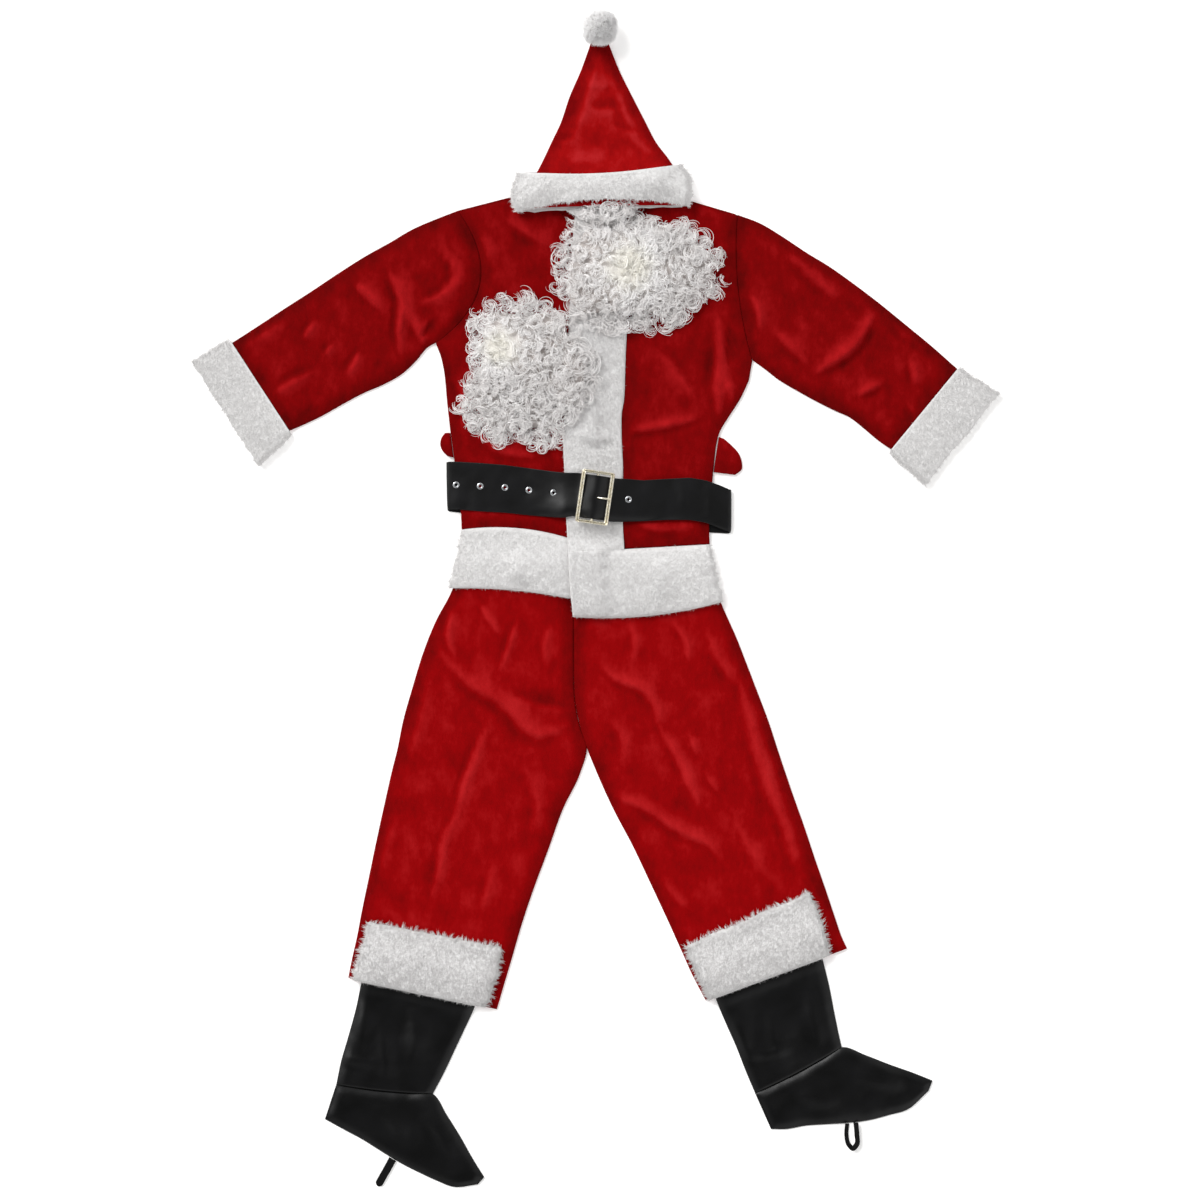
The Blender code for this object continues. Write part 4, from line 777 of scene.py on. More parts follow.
def wall_faces(rows: int, columns: int, ring: bool) -> Array:
    """Faces of a wall between two grids of points, the inner one numbered after the outer.

    Outer quads run one way round and inner quads the other; strips close the rims.
    """
    grid = np.arange(rows * columns).reshape(rows, columns)
    if ring:
        grid = np.concatenate([grid, grid[:, :1]], 1)
    inner = grid + rows * columns
    quads = [
        (grid[:-1, :-1], grid[1:, :-1], grid[1:, 1:], grid[:-1, 1:]),
        (inner[:-1, :-1], inner[:-1, 1:], inner[1:, 1:], inner[1:, :-1]),
        (grid[0, :-1], grid[0, 1:], inner[0, 1:], inner[0, :-1]),
        (grid[-1, 1:], grid[-1, :-1], inner[-1, :-1], inner[-1, 1:]),
    ]
    if not ring:
        quads.append((grid[1:, 0], grid[:-1, 0], inner[:-1, 0], inner[1:, 0]))
        quads.append((grid[:-1, -1], grid[1:, -1], inner[1:, -1], inner[:-1, -1]))
    return np.concatenate([np.stack(corners, -1).reshape(-1, 4) for corners in quads])


def outwards(points: Array, quads: Array) -> Array:
    """The quads of a closed shape, turned over where they face inwards.

    The signed volume is the sum of a . (b x c) over the quads' triangles, by six.
    """
    volume = 0.0
    for corner in ((0, 1, 2), (0, 2, 3)):
        a, b, c = (points[quads[:, k]] for k in corner)
        volume += float(np.einsum("ij,ij->", a, np.cross(b, c)))
    return quads if volume > 0 else quads[:, ::-1]


def make_wall(name: str, outer: Array, inner: Array, ring: bool, material: Material) -> Piece:
    """A closed cloth wall between an outer and an inner grid of points, facing outwards."""
    points = np.concatenate([outer.reshape(-1, 3), inner.reshape(-1, 3)])
    points[:, 2] = np.maximum(points[:, 2], 0.02)
    faces = outwards(points, wall_faces(outer.shape[0], outer.shape[1], ring))
    return make_object(name, points, faces, material)


def closed_ring(points: Array) -> tuple[Array, Array]:
    """Points and outward quads of a closed section carried round a loop, both closed."""
    number = np.arange(points.shape[0] * points.shape[1]).reshape(points.shape[:2])
    ahead, beside = np.roll(number, -1, axis=0), np.roll(number, -1, axis=1)
    quads = np.stack([number, ahead, np.roll(ahead, -1, axis=1), beside], -1).reshape(-1, 4)
    flat = points.reshape(-1, 3)
    return flat, outwards(flat, quads)


def circle(sides: int) -> Array:
    """Angles of a ring's points."""
    return np.arange(sides) * 2 * np.pi / sides


def rod(path: Array, radius: Array, sides: int) -> tuple[Array, Array]:
    """A round rod along a path.

    A ring point is the path's point plus the radius times (cos a side + sin a up), where side
    is level and at right angles to the path.

    Args:
        path: Stations by x, y and z.
        radius: The rod's radius at each station.
        sides: Points in a ring.

    Returns:
        The points and the outward quads.
    """
    ahead = unit(np.gradient(path, axis=0))
    side = unit(np.cross(ahead, UP), 1e-6)
    up = np.cross(side, ahead)
    angle = circle(sides)
    ring = side[:, None] * np.cos(angle)[:, None] + up[:, None] * np.sin(angle)[:, None]
    points = (path[:, None] + ring * radius[:, None, None]).reshape(-1, 3)
    number = np.arange(len(path) * sides).reshape(len(path), sides)
    turned = np.roll(number, -1, axis=1)
    quads = np.stack([number[:-1], number[1:], turned[1:], turned[:-1]], -1).reshape(-1, 4)
    return points, outwards(points, quads)


def ribbons(paths: Array, width: Array, rng: np.random.Generator) -> tuple[Array, Array, Array]:
    """Fine strands along many paths at once, two points wide, that take the light as if round.

    Side is at right angles to the path and about level; the two points of a station are the
    path's point minus and plus half the width along side. Their normals turn 40 degrees out to
    each side of the strand's own upward normal.

    Args:
        paths: Strands by stations by x, y and z.
        width: Width at each station.
        rng: Random numbers.

    Returns:
        The points, the quads and the points' normals.
    """
    ahead = unit(np.gradient(paths, axis=1))
    side = unit(np.cross(ahead, UP + rng.normal(0, 0.3, (len(paths), 1, 3))), 1e-3)
    up = np.cross(side, ahead)
    half = side * width[:, None] / 2
    points = np.stack([paths - half, paths + half], 2)
    normals = unit(np.stack([up - 0.85 * side, up + 0.85 * side], 2) + 0.35 * UP, 1e-6)
    count, length = paths.shape[:2]
    number = np.arange(count * length * 2).reshape(count, length, 2)
    quads = np.stack([number[:, :-1, 0], number[:, :-1, 1], number[:, 1:, 1], number[:, 1:, 0]], -1)
    return points.reshape(-1, 3), quads.reshape(-1, 4), normals.reshape(-1, 3)


def cad_top(pile: Pile, node_name: str) -> Array:
    """A raster of the highest points of a CAD node, from spots spread over its triangles."""
    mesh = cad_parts[node_name].data
    mesh.calc_loop_triangles()
    points = np.empty(len(mesh.vertices) * 3)
    mesh.vertices.foreach_get("co", points)
    corners = np.empty(len(mesh.loop_triangles) * 3, np.int32)
    mesh.loop_triangles.foreach_get("vertices", corners)
    triangles = (points.reshape(-1, 3) / MM)[corners.reshape(-1, 3)]
    s, t = (grid.ravel() for grid in np.meshgrid(np.linspace(0, 1, 36), np.linspace(0, 1, 36)))
    weights = np.stack([1 - s - t, s, t], 1)[s + t <= 1.0001]
    spots = np.einsum("kc,tcd->tkd", weights, triangles).reshape(-1, 3)
    return pile.marked(spots, spots[:, 2])


# ---------------------------------------------------------------- cloth pieces
@dataclass(frozen=True)
class Cloth:
    """A kind of cloth.

    Attributes:
        wall: Its thickness.
        edge: Over what distance a cut edge rounds off.
        slot: The record's material slot.
        finish: Its finish, where that isn't named as the slot is.
    """

    wall: float
    edge: float
    slot: str
    finish: str = ""


VELOUR = Cloth(2.2, 3.5, "velour")
FRONT_VELOUR = Cloth(2.2, 1.2, "velour")
# the legs' and the hat's velour are lighter copies of the jacket's, painted sheen; the jacket's darker tone is
# painted shade
LEG_VELOUR = Cloth(2.2, 3.5, "velour", "velour_legs")
HAT_VELOUR = Cloth(2.2, 3.5, "velour", "velour_hat")
PLUSH = Cloth(5.0, 7.0, "plush")
PLUSH_FLAT = Cloth(3.2, 5.0, "plush")
VINYL = Cloth(1.3, 2.0, "vinyl")


@dataclass
class Workshop:
    """What the pieces share while the suit is laid: the finishes and the pile."""

    finishes: dict[str, Material]
    pile: Pile = field(default_factory=Pile)

    def dress(self, made: Piece, slot: str, *nodes: str) -> Piece:
        """Puts a piece on the suit's body in place of CAD nodes.

        Args:
            made: The piece.
            slot: Not used.
            nodes: The CAD nodes that it stands for.

        Returns:
            The piece.
        """
        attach(made, "root")
        if nodes:
            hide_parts(*nodes)
        log.info("%s: %d faces", made.name, len(made.data.polygons))
        return made

    def wall(self, name: str, cloth: Cloth, outer: Array, inner: Array, ring: bool, tone: Array) -> Piece:
        """Makes a sheet's closed wall and gives it its fold tone, the same inside and outside: the velour's
        colour takes it as a painted highlight on ridges and painted shade in troughs.
        """
        piece = make_wall(name + "_cloth", outer, inner, ring, self.finishes[cloth.finish or cloth.slot])
        give_attribute(piece, "fold", np.tile(tone.ravel(), 2))
        return self.dress(piece, cloth.slot, name)


def declare_cut(walls: Sequence[Array]) -> None:
    """Works out the flat cut of a sheet, its width, length and area, which nothing uses; a second wall lies
    beside the first on it.

    Args:
        walls: The walls' plans, or what they measure along the cloth.
    """
    width = length = area = 0.0
    for net in walls:
        width += lengths(np.diff(net, axis=1)).sum(axis=1).max() * MM
        length = max(length, lengths(np.diff(net, axis=0)).sum(axis=0).max() * MM)
        corners = np.stack([net[:-1, :-1], net[1:, :-1], net[1:, 1:], net[:-1, 1:]], 2)
        turned = np.roll(corners, -1, axis=2)
        cross = corners[..., 0] * turned[..., 1] - corners[..., 1] * turned[..., 0]
        area += abs(cross.sum()) / 2 * MM * MM


def frayed(name: str, net: Array) -> Array:
    """A trim's plan with uneven raw edges: small slow shifts, none within reach of a sewn edge."""
    if name not in TRIM_EDGES:
        return net
    sewn = rim_distance(net, *(edge is not Edge.FUZZY for edge in TRIM_EDGES[name]))
    shift = np.stack([waves(net, 17, 3.0), waves(net, 17, 8.0)], -1) * 2.3
    return net + shift * smooth_step(sewn / 14)[..., None]


@dataclass
class Sheet:
    """One wall of cloth that lies on the pile.

    Attributes:
        name: The CAD node that it stands for.
        pattern: Its sections.
        cloth: What it is cut from.
        creases: Ridges and troughs on it.
        loft: How far its middle stands off what lies below.
        spacing: Distance between the net's points.
        smooth: Whether its outline is one curve through the sections.
        rests: What it lies on; not used.
        seed: Phase of its unevenness.
        spans: How many rows to each side it spans over steps below it.
        joined: Where it runs into another sheet: its last row, and its first row up to this x.
    """

    name: str
    pattern: Sequence[Section]
    cloth: Cloth
    creases: Sequence[Fold] = ()
    loft: float = 0.0
    spacing: float = 5.0
    smooth: bool = False
    rests: Sequence[str] = ()
    seed: float = 1.0
    spans: int = 0
    joined: tuple[bool, float] = (False, -1000.0)
    net: Array = field(init=False)
    under: Array = field(init=False)
    top: Array = field(init=False)
    lift: Array = field(init=False)

    def lay(self, shop: Workshop) -> Sheet:
        """Lets the sheet come to rest and adds it to the layer."""
        self.net = frayed(self.name, cut_from(self.pattern, self.spacing, smooth=self.smooth))
        self.under = bridged(shop.pile.settle(self.net), self.spans)
        distance = rim_distance(self.net, last=not self.joined[0])
        free = rim_distance(self.net, first=False)
        distance = np.where(self.net[..., 0] < self.joined[1], free, distance)
        self.lift = lifted(self, distance, 26)
        self.top = self.under + self.lift + self.cloth.wall * (0.4 + 0.6 * rounded(distance, self.cloth.edge))
        shop.pile.cover(self.net, self.top)
        return self

    def meet(self, other: Sheet, shop: Workshop) -> None:
        """Brings this sheet's last row level with another's first row, over 30 mm on both.

        Args:
            other: The sheet that this one runs into.
            shop: The workshop.
        """
        mine, theirs = self.net[-1, :, 0], other.net[0, :, 0]
        step = np.interp(mine, theirs, other.top[0]) - self.top[-1]
        rise = np.interp(theirs, mine, np.maximum(-step, 0), right=0.0)
        for sheet, amount, last in ((self, np.maximum(step, 0), True), (other, rise, False)):
            ease = amount * (1 - smooth_step(rim_distance(sheet.net, False, False, not last, last) / 30))
            sheet.lift = sheet.lift + ease
            sheet.top = sheet.top + ease
            shop.pile.cover(sheet.net, sheet.top)

    def build(self, shop: Workshop, going_with: Sequence[Piece] = ()) -> None:
        """Makes the closed wall, its finish and its flat cut."""
        outer, inner = at_height(self.net, self.top), at_height(self.net, self.under + self.lift)
        # fold tone: above 0 on ridges, below 0 in troughs; the velour paints it as highlight and shade
        piece = shop.wall(self.name, self.cloth, outer, inner, False, np.tanh((self.lift - self.loft) / 3.0))
        declare_cut([self.net])


def lifted(sheet: Sheet | Tube, distance: Array, ease: float) -> Array:
    """How far a sheet stands off: its loft, folds and unevenness, building up from its rim."""
    relief = fold_height(sheet.net, sheet.creases) + 0.45 * waves(sheet.net, 95, sheet.seed)
    return np.maximum(sheet.loft + relief, 0) * smooth_step(distance / ease)


@dataclass
class Tube:
    """A flattened tube of cloth: a lower wall, what lies inside, and an upper wall.

    Attributes:
        name: The CAD node that it stands for.
        pattern: Its sections, from fold a to fold b.
        cloth: What it is cut from.
        ring: Whether both sides are folds; if not, side b is a seam.
        over: The upper wall's own pattern, where its edge bows differently.
        creases: Ridges and troughs on the upper wall.
        loft: How far the upper wall's middle stands off.
        turn: Radius with which the upper wall rounds off at its folds.
        ease: Over what distance the loft builds up from the rim.
        sink: How deep the last row is drawn down by its seam; 0 for a free edge.
        spacing: Distance between the net's points.
        rests: What it lies on; not used.
        seed: Phase of its unevenness.
    """

    name: str
    pattern: Sequence[Section]
    cloth: Cloth
    ring: bool = True
    over: Sequence[Section] | None = None
    creases: Sequence[Fold] = ()
    loft: float = 0.0
    turn: float = 8.0
    ease: float = 26.0
    sink: float = 0.0
    spacing: float = 5.0
    rests: Sequence[str] = ("studio_floor",)
    seed: float = 1.0
    lower: Array = field(init=False)
    floor: Array = field(init=False)
    net: Array = field(init=False)
    top: Array = field(init=False)
    lift: Array = field(init=False)

    def lay_lower(self, shop: Workshop) -> Tube:
        """Lays the wall that ends up below."""
        self.lower = frayed(self.name, cut_from(self.pattern, self.spacing, 2.2 * self.spacing))
        self.floor = shop.pile.settle(self.lower, 60)
        shop.pile.cover(self.lower, self.floor + self.cloth.wall)
        return self

    def lay_upper(self, shop: Workshop) -> Tube:
        """Lays the wall that ends up on top."""
        self.net = frayed(self.name, cut_from(self.over or self.pattern, self.spacing))
        under = shop.pile.settle(self.net)
        self.lift = lifted(self, rim_distance(self.net, last=not self.sink), self.ease)
        if self.sink:
            seam = rim_distance(self.net, False, False, False)
            self.lift = np.maximum(self.lift - self.sink * (1 - rounded(seam, 4.0)), 0)
        self.top = under + self.lift + self.cloth.wall
        shop.pile.cover(self.net, self.top)
        return self

    def build(self, shop: Workshop, going_with: Sequence[Piece] = ()) -> None:
        """Makes the closed wall all round, its finish and its flat cut."""
        wall, reach = self.cloth.wall, self.cloth.wall * 0.8
        levels = [np.maximum((self.top[:, k] + self.floor[:, k]) / 2, self.floor[:, k] + 0.8)[:, None]
                  for k in (0, -1)]
        upper_out = self.toward(self.net, self.top, levels, self.turn)
        lower_out = self.toward(self.lower, self.floor, levels, self.turn * 0.5)
        upper_net, lower_net = (pulled_in(net, reach, reach if self.ring else 0)
                                for net in (self.net, self.lower))
        upper_in = np.maximum(upper_out - wall, across(upper_net, levels) + 0.12)
        lower_in = np.minimum(lower_out + wall, across(lower_net, levels) - 0.12)
        upper_in = np.minimum(upper_in, upper_out - 0.3)
        lower_in = np.maximum(lower_in, lower_out + 0.3)
        low, high = (1, -1) if self.ring else (-1, 1)
        outer, inner = (np.concatenate([at_height(*under)[:, ::low], at_height(*over)[:, ::high]], 1)
                        for under, over in (((self.lower, lower_out), (self.net, upper_out)),
                                            ((lower_net, lower_in), (upper_net, upper_in))))
        # fold tone of the upper wall, painted by the velour as highlight on ridges and shade in troughs
        tone = np.concatenate([np.zeros(self.lower.shape[:2]),
                               np.tanh((self.lift - self.loft) / 3.0)[:, ::high]], 1)
        piece = shop.wall(self.name, self.cloth, outer, inner, self.ring, tone)
        declare_cut([self.lower, self.net])

    def toward(self, net: Array, height: Array, levels: Sequence[Array], radius: float) -> Array:
        """Brings a wall to the meeting height at both folds: level + (height - level) roundness."""
        at_a = rounded(rim_distance(net, True, False, False, False), radius)
        at_b = rounded(rim_distance(net, False, True, False, False), radius if self.ring else radius * 0.3)
        near_a, near_b = (level + (height - level) * (0.06 + 0.94 * at)
                          for level, at in zip(levels, (at_a, at_b)))
        return np.where(at_a < at_b, near_a, near_b)


def across(net: Array, levels: Sequence[Array]) -> Array:
    """The height at which both walls meet, read across the tube by shares."""
    share = np.linspace(0, 1, net.shape[1])
    return levels[0] * (1 - share) + levels[1] * share


# ---------------------------------------------------------------- plush
class Edge(Enum):
    """How a trim ends at one side."""

    SEWN = "sewn"
    FUZZY = "fuzzy"
    JOINED = "joined"


S, F, J = Edge.SEWN, Edge.FUZZY, Edge.JOINED
TRIM_EDGES = {            # side a, side b, first row, last row
    "leg_band_right": (F, F, F, S), "leg_band_left": (F, F, F, S), "hem_band_right": (F, S, S, S),
    "hem_band_left": (S, F, J, S), "placket": (S, S, S, J), "cuff_right": (F, F, S, F),
    "cuff_left": (F, F, S, F), "collar": (F, F, S, F), "hat_band": (F, F, S, F),
}
TUFTS = {"leg": 10.0, "hem": 8.5, "hat": 7.0}
SHORT_TUFTS = 6.0
Blades = tuple[Array, Array, Array, Array]      # roots, tips from the roots, normals, shades


@dataclass
class Fur:
    """The standing pile of the white trim: thin blades brushed over, and tufts along raw edges.

    Attributes:
        stray: How long the blades of a tuft are.
        seed: Where the random numbers start.
        each: Floor area for one blade.
        length: How long a blade is.
        width: How wide it is at its root.
        clump: Distance between clumps.
        tuft: Distance between the tufts of a raw edge.
        per_mm: How many of them grow on a millimetre of edge.
    """

    stray: float
    seed: int
    each: float = 1.75
    length: float = 5.5
    width: float = 0.5
    clump: float = 9.0
    tuft: float = 3.6
    per_mm: float = 5.0

    def scatter(self, trim: Sheet | Tube, rng: np.random.Generator) -> tuple[Array, Array, Array]:
        """Spots spread evenly over a trim's surface.

        Returns:
            The spots, how far each lies from a sewn edge, and the surface's normals there.
        """
        corners = at_height(trim.net, trim.top)
        cross = np.cross(corners[1:, :-1] - corners[:-1, :-1], corners[:-1, 1:] - corners[:-1, :-1])
        cross *= np.sign(cross[..., 2:])
        area = lengths(cross)
        count = int(area.sum() / self.each)
        cell = rng.choice(area.size, count, p=(area / area.sum()).ravel())
        i, j = np.divmod(cell, area.shape[1])
        u, v = rng.random((2, count, 1))
        rim = rim_distance(trim.net, *(edge is Edge.SEWN for edge in TRIM_EDGES[trim.name]))[..., None]
        return blend(corners, i, j, u, v), blend(rim, i, j, u, v)[:, 0], unit(cross)[i, j]

    def nap(self, shop: Workshop, trim: Sheet | Tube, rng: np.random.Generator) -> Blades:
        """The brushed blades.

        A blade leans in a direction that turns slowly over the cloth, and its tip is drawn a
        little to the middle of its clump.
        """
        roots, rim, normal = self.scatter(trim, rng)
        keep = (shop.pile.read(shop.pile.top, roots[:, :2]) - roots[:, 2] < 5.0) & (rim > 1.6)
        roots, normal = roots[keep], normal[keep]
        count = len(roots)
        cell = np.floor(roots[:, :2] / self.clump)
        jitter = np.sin(cell @ np.array([[127.1, 269.5], [311.7, 183.3]]))
        middle = (cell + 0.5 + 0.35 * jitter) * self.clump
        turn = (-1.9 + 0.8 * waves(roots[:, :2], 150, 4.0) + 0.3 * jitter[:, 0]
                + rng.normal(0, 0.55, count))
        tilt = rng.uniform(0.1, 0.42, count)
        length = self.length * rng.uniform(0.65, 1.1, count)
        tip = np.column_stack([np.cos(turn) * np.cos(tilt) * length, np.sin(turn) * np.cos(tilt) * length,
                               np.sin(tilt) * length])
        tip[:, :2] += (middle - roots[:, :2]) * 0.08
        return roots, tip, normal, 0.1 * jitter[:, 1] + 0.4 * rng.uniform(-1, 1, count)

    def fringe(self, line: Array, inside: Array, rng: np.random.Generator) -> Blades:
        """The tufts that stick out along a raw edge.

        Args:
            line: The edge's points.
            inside: The points three rows further in.
            rng: Random numbers.
        """
        at = passed(lengths(np.diff(line, axis=0)))
        count = int(at[-1] * self.per_mm)
        place = rng.uniform(0, at[-1], count)
        spot, inner = (np.stack([np.interp(place, at, column) for column in points.T], 1)
                       for points in (line, inside))
        out = unit(spot[:, :2] - inner[:, :2], 1e-6)
        along = np.stack([-out[:, 1], out[:, 0]], 1)
        number = np.floor(place / self.tuft)
        random = np.sin(number * 91.7 + self.seed * 3.1 + line[0, 0])
        middle = (number + 0.5 + 0.3 * random) * self.tuft
        flow = np.sign((along * np.gradient(line[:, :2], axis=0)[len(line) // 2]).sum(axis=1))
        size = self.stray * (0.72 + 0.38 * random) * rng.uniform(0.5, 1.0, count)
        pull = (middle - place) * flow * 0.6 + size * (0.4 * np.sin(number * 37.3) + rng.normal(0, 0.2, count))
        depth = rng.uniform(-0.5, 7.5, count)[:, None]
        inward = inner - spot
        root = spot + inward * depth / np.maximum(np.linalg.norm(inward, axis=1, keepdims=True), 1)
        tip = np.column_stack([out * size[:, None] + along * pull[:, None],
                               size * rng.uniform(-0.15, 0.2, count)])
        normal = np.column_stack([out * 0.35, np.ones(count)])
        return root, tip, normal, 0.5 * random + 0.4 * rng.uniform(-1, 1, count)

    def grow(self, shop: Workshop, trim: Sheet | Tube) -> Piece:
        """Grows the pile on a trim's upper surface, when the shop's pile is final."""
        rng = np.random.default_rng(self.seed)
        parts = [self.nap(shop, trim, rng)]
        corners = at_height(trim.net, trim.top)
        sides = ((corners[:, 0], corners[:, 3]), (corners[:, -1], corners[:, -4]),
                 (corners[0], corners[3]), (corners[-1], corners[-4]))
        for edge, (line, inside) in zip(TRIM_EDGES[trim.name], sides):
            if edge is Edge.FUZZY:
                parts.append(self.fringe(line, inside, rng))
        roots, *rest = (np.concatenate(same) for same in zip(*parts))
        # leg bands take a darker copy of the trim's fibre, painted shade
        finish = "leg_fur" if trim.name.startswith("leg") else "fur"
        return grow_blades(shop, trim.name + "_pile", (roots - 0.4 * UP, *rest), self.width, rng, finish)


def grow_blades(shop: Workshop, name: str, blades: Blades, width: float, rng: np.random.Generator,
                finish: str) -> Piece:
    """Thin three-faced blades that take the light as the surface below them does.

    Args:
        shop: The workshop.
        name: The piece's name.
        blades: Roots, tips from the roots, the surface's normals, and how pale each is (-1 to 1).
        width: Width at the root.
        rng: Random numbers.
        finish: The finish's name.

    Returns:
        The piece.
    """
    roots, tip, normal, shade = blades
    count = len(roots)
    length = np.linalg.norm(tip, axis=1, keepdims=True)
    normal = unit(normal)
    half = unit(np.cross(tip, normal + rng.normal(0, 0.25, (count, 3))), 1e-6) * width / 2
    bend = tip * 0.5 + normal * length * 0.1
    points = np.stack([roots - half, roots + half, roots + bend - half * 0.75, roots + bend + half * 0.75,
                       roots + tip], 1)
    points[..., 2] = np.maximum(points[..., 2], 0.2)
    faces = np.array([[0, 1, 3], [0, 3, 2], [2, 3, 4]])[None] + (np.arange(count) * 5)[:, None, None]
    faces = faces.reshape(-1, 3)
    flat = points.reshape(-1, 3)
    a, b, c = (flat[faces[:, k]] for k in range(3))
    turned = np.einsum("ij,ij->i", np.cross(b - a, c - a), np.repeat(normal, 3, axis=0)) < 0
    faces[turned] = faces[turned][:, ::-1]
    piece = make_object(name, flat, faces, shop.finishes[finish])
    # rise runs from root (0) to tip (1); the fibre finish paints shade at the root and light at the tip by it
    give_attribute(piece, "rise", np.tile(np.array([0, 0, 0.55, 0.55, 1.0]), count))
    give_attribute(piece, "shade", np.repeat(shade, 5))
    soft = unit(normal + 0.22 * tip / np.maximum(length, 1e-6))
    piece.data.normals_split_custom_set_from_vertices(np.repeat(soft, 5, axis=0).tolist())
    return shop.dress(piece, "plush")


# ---------------------------------------------------------------- pompom
@dataclass
class Pompom:
    """A ball of standing fur at the hat's tip."""

    x: float = 7.0
    y: float = 853.5
    radius: float = 27.0
    depth: float = 5.0        # of the fur, from the ball's outline to the core
    blades: int = 12000
    length: float = 8.0
    clumps: int = 150
    rows: int = 24
    columns: int = 36

    def build(self, shop: Workshop) -> None:
        """Makes the core, a ball, and its fur."""
        core = self.radius - self.depth
        centre = np.array([self.x, self.y, self.radius - 1.0])
        polar = np.linspace(0.0, np.pi, self.rows + 1)[1:-1, None]
        turn = circle(self.columns)
        grid = np.stack([np.sin(polar) * np.cos(turn), np.sin(polar) * np.sin(turn),
                         np.repeat(np.cos(polar), self.columns, 1)], 2)
        ball = np.concatenate([grid.reshape(-1, 3), [UP, -UP]])
        number = np.arange((self.rows - 1) * self.columns).reshape(-1, self.columns)
        right = np.roll(number, -1, axis=1)
        quads = np.stack([number[:-1], number[1:], right[1:], right[:-1]], -1).reshape(-1, 4)
        poles = np.full((2, self.columns), number.size) + [[0], [1]]
        caps = np.concatenate([np.stack([poles[0], number[0], right[0]], -1),
                               np.stack([poles[1], right[-1], number[-1]], -1)])
        mesh = bpy.data.meshes.new("hat_pompom_core")
        mesh.from_pydata(((ball * core + centre) * MM).tolist(), [], quads.tolist() + caps.tolist())
        mesh.polygons.foreach_set("use_smooth", np.ones(len(mesh.polygons), bool))
        mesh.materials.append(shop.finishes["plush"])
        piece = shop.dress(linked(mesh.name, mesh), "plush", "hat_pompom")
        self.grow(shop, core - 0.6, centre)

    def grow(self, shop: Workshop, core: float, centre: Array) -> None:
        """Grows the fur from a little below the core's surface.

        A blade leans from its root outwards and to the middle of its clump:
        tip = root + length (0.5 out + 2.2 (clump - out) + a little at random).
        """
        rng = np.random.default_rng(11)
        out = unit(rng.normal(0, 1, (self.blades, 3)))
        out = out[out[:, 2] > -0.75]
        count = len(out)
        square = (np.abs(out[:, :2] / np.hypot(out[:, 0], out[:, 1])[:, None]) ** 3).sum(axis=1) ** (-1 / 3)
        clumps = unit(rng.normal(0, 1, (self.clumps, 3)))
        nearest = np.argmax(out @ clumps.T, axis=1)
        tip = 0.5 * out + 2.2 * (clumps[nearest] - out) + rng.normal(0, 0.32, (count, 3))
        reach = rng.uniform(0.6, 1.05, (count, 1)) * rng.uniform(0.8, 1.2, (self.clumps, 1))[nearest]
        tip *= self.length * reach / np.linalg.norm(tip, axis=1, keepdims=True)
        root = out * core * np.where(np.arange(3) < 2, square[:, None], 1.0)
        shade = 0.4 * rng.uniform(-1, 1, count) + 0.3 * rng.uniform(-1, 1, self.clumps)[nearest]
        # the pompom's paler fibre is painted light against its own shading
        grow_blades(shop, "hat_pompom_fur", (centre + root, tip, out + 1.6 * UP, shade), 0.6, rng, "pompom")


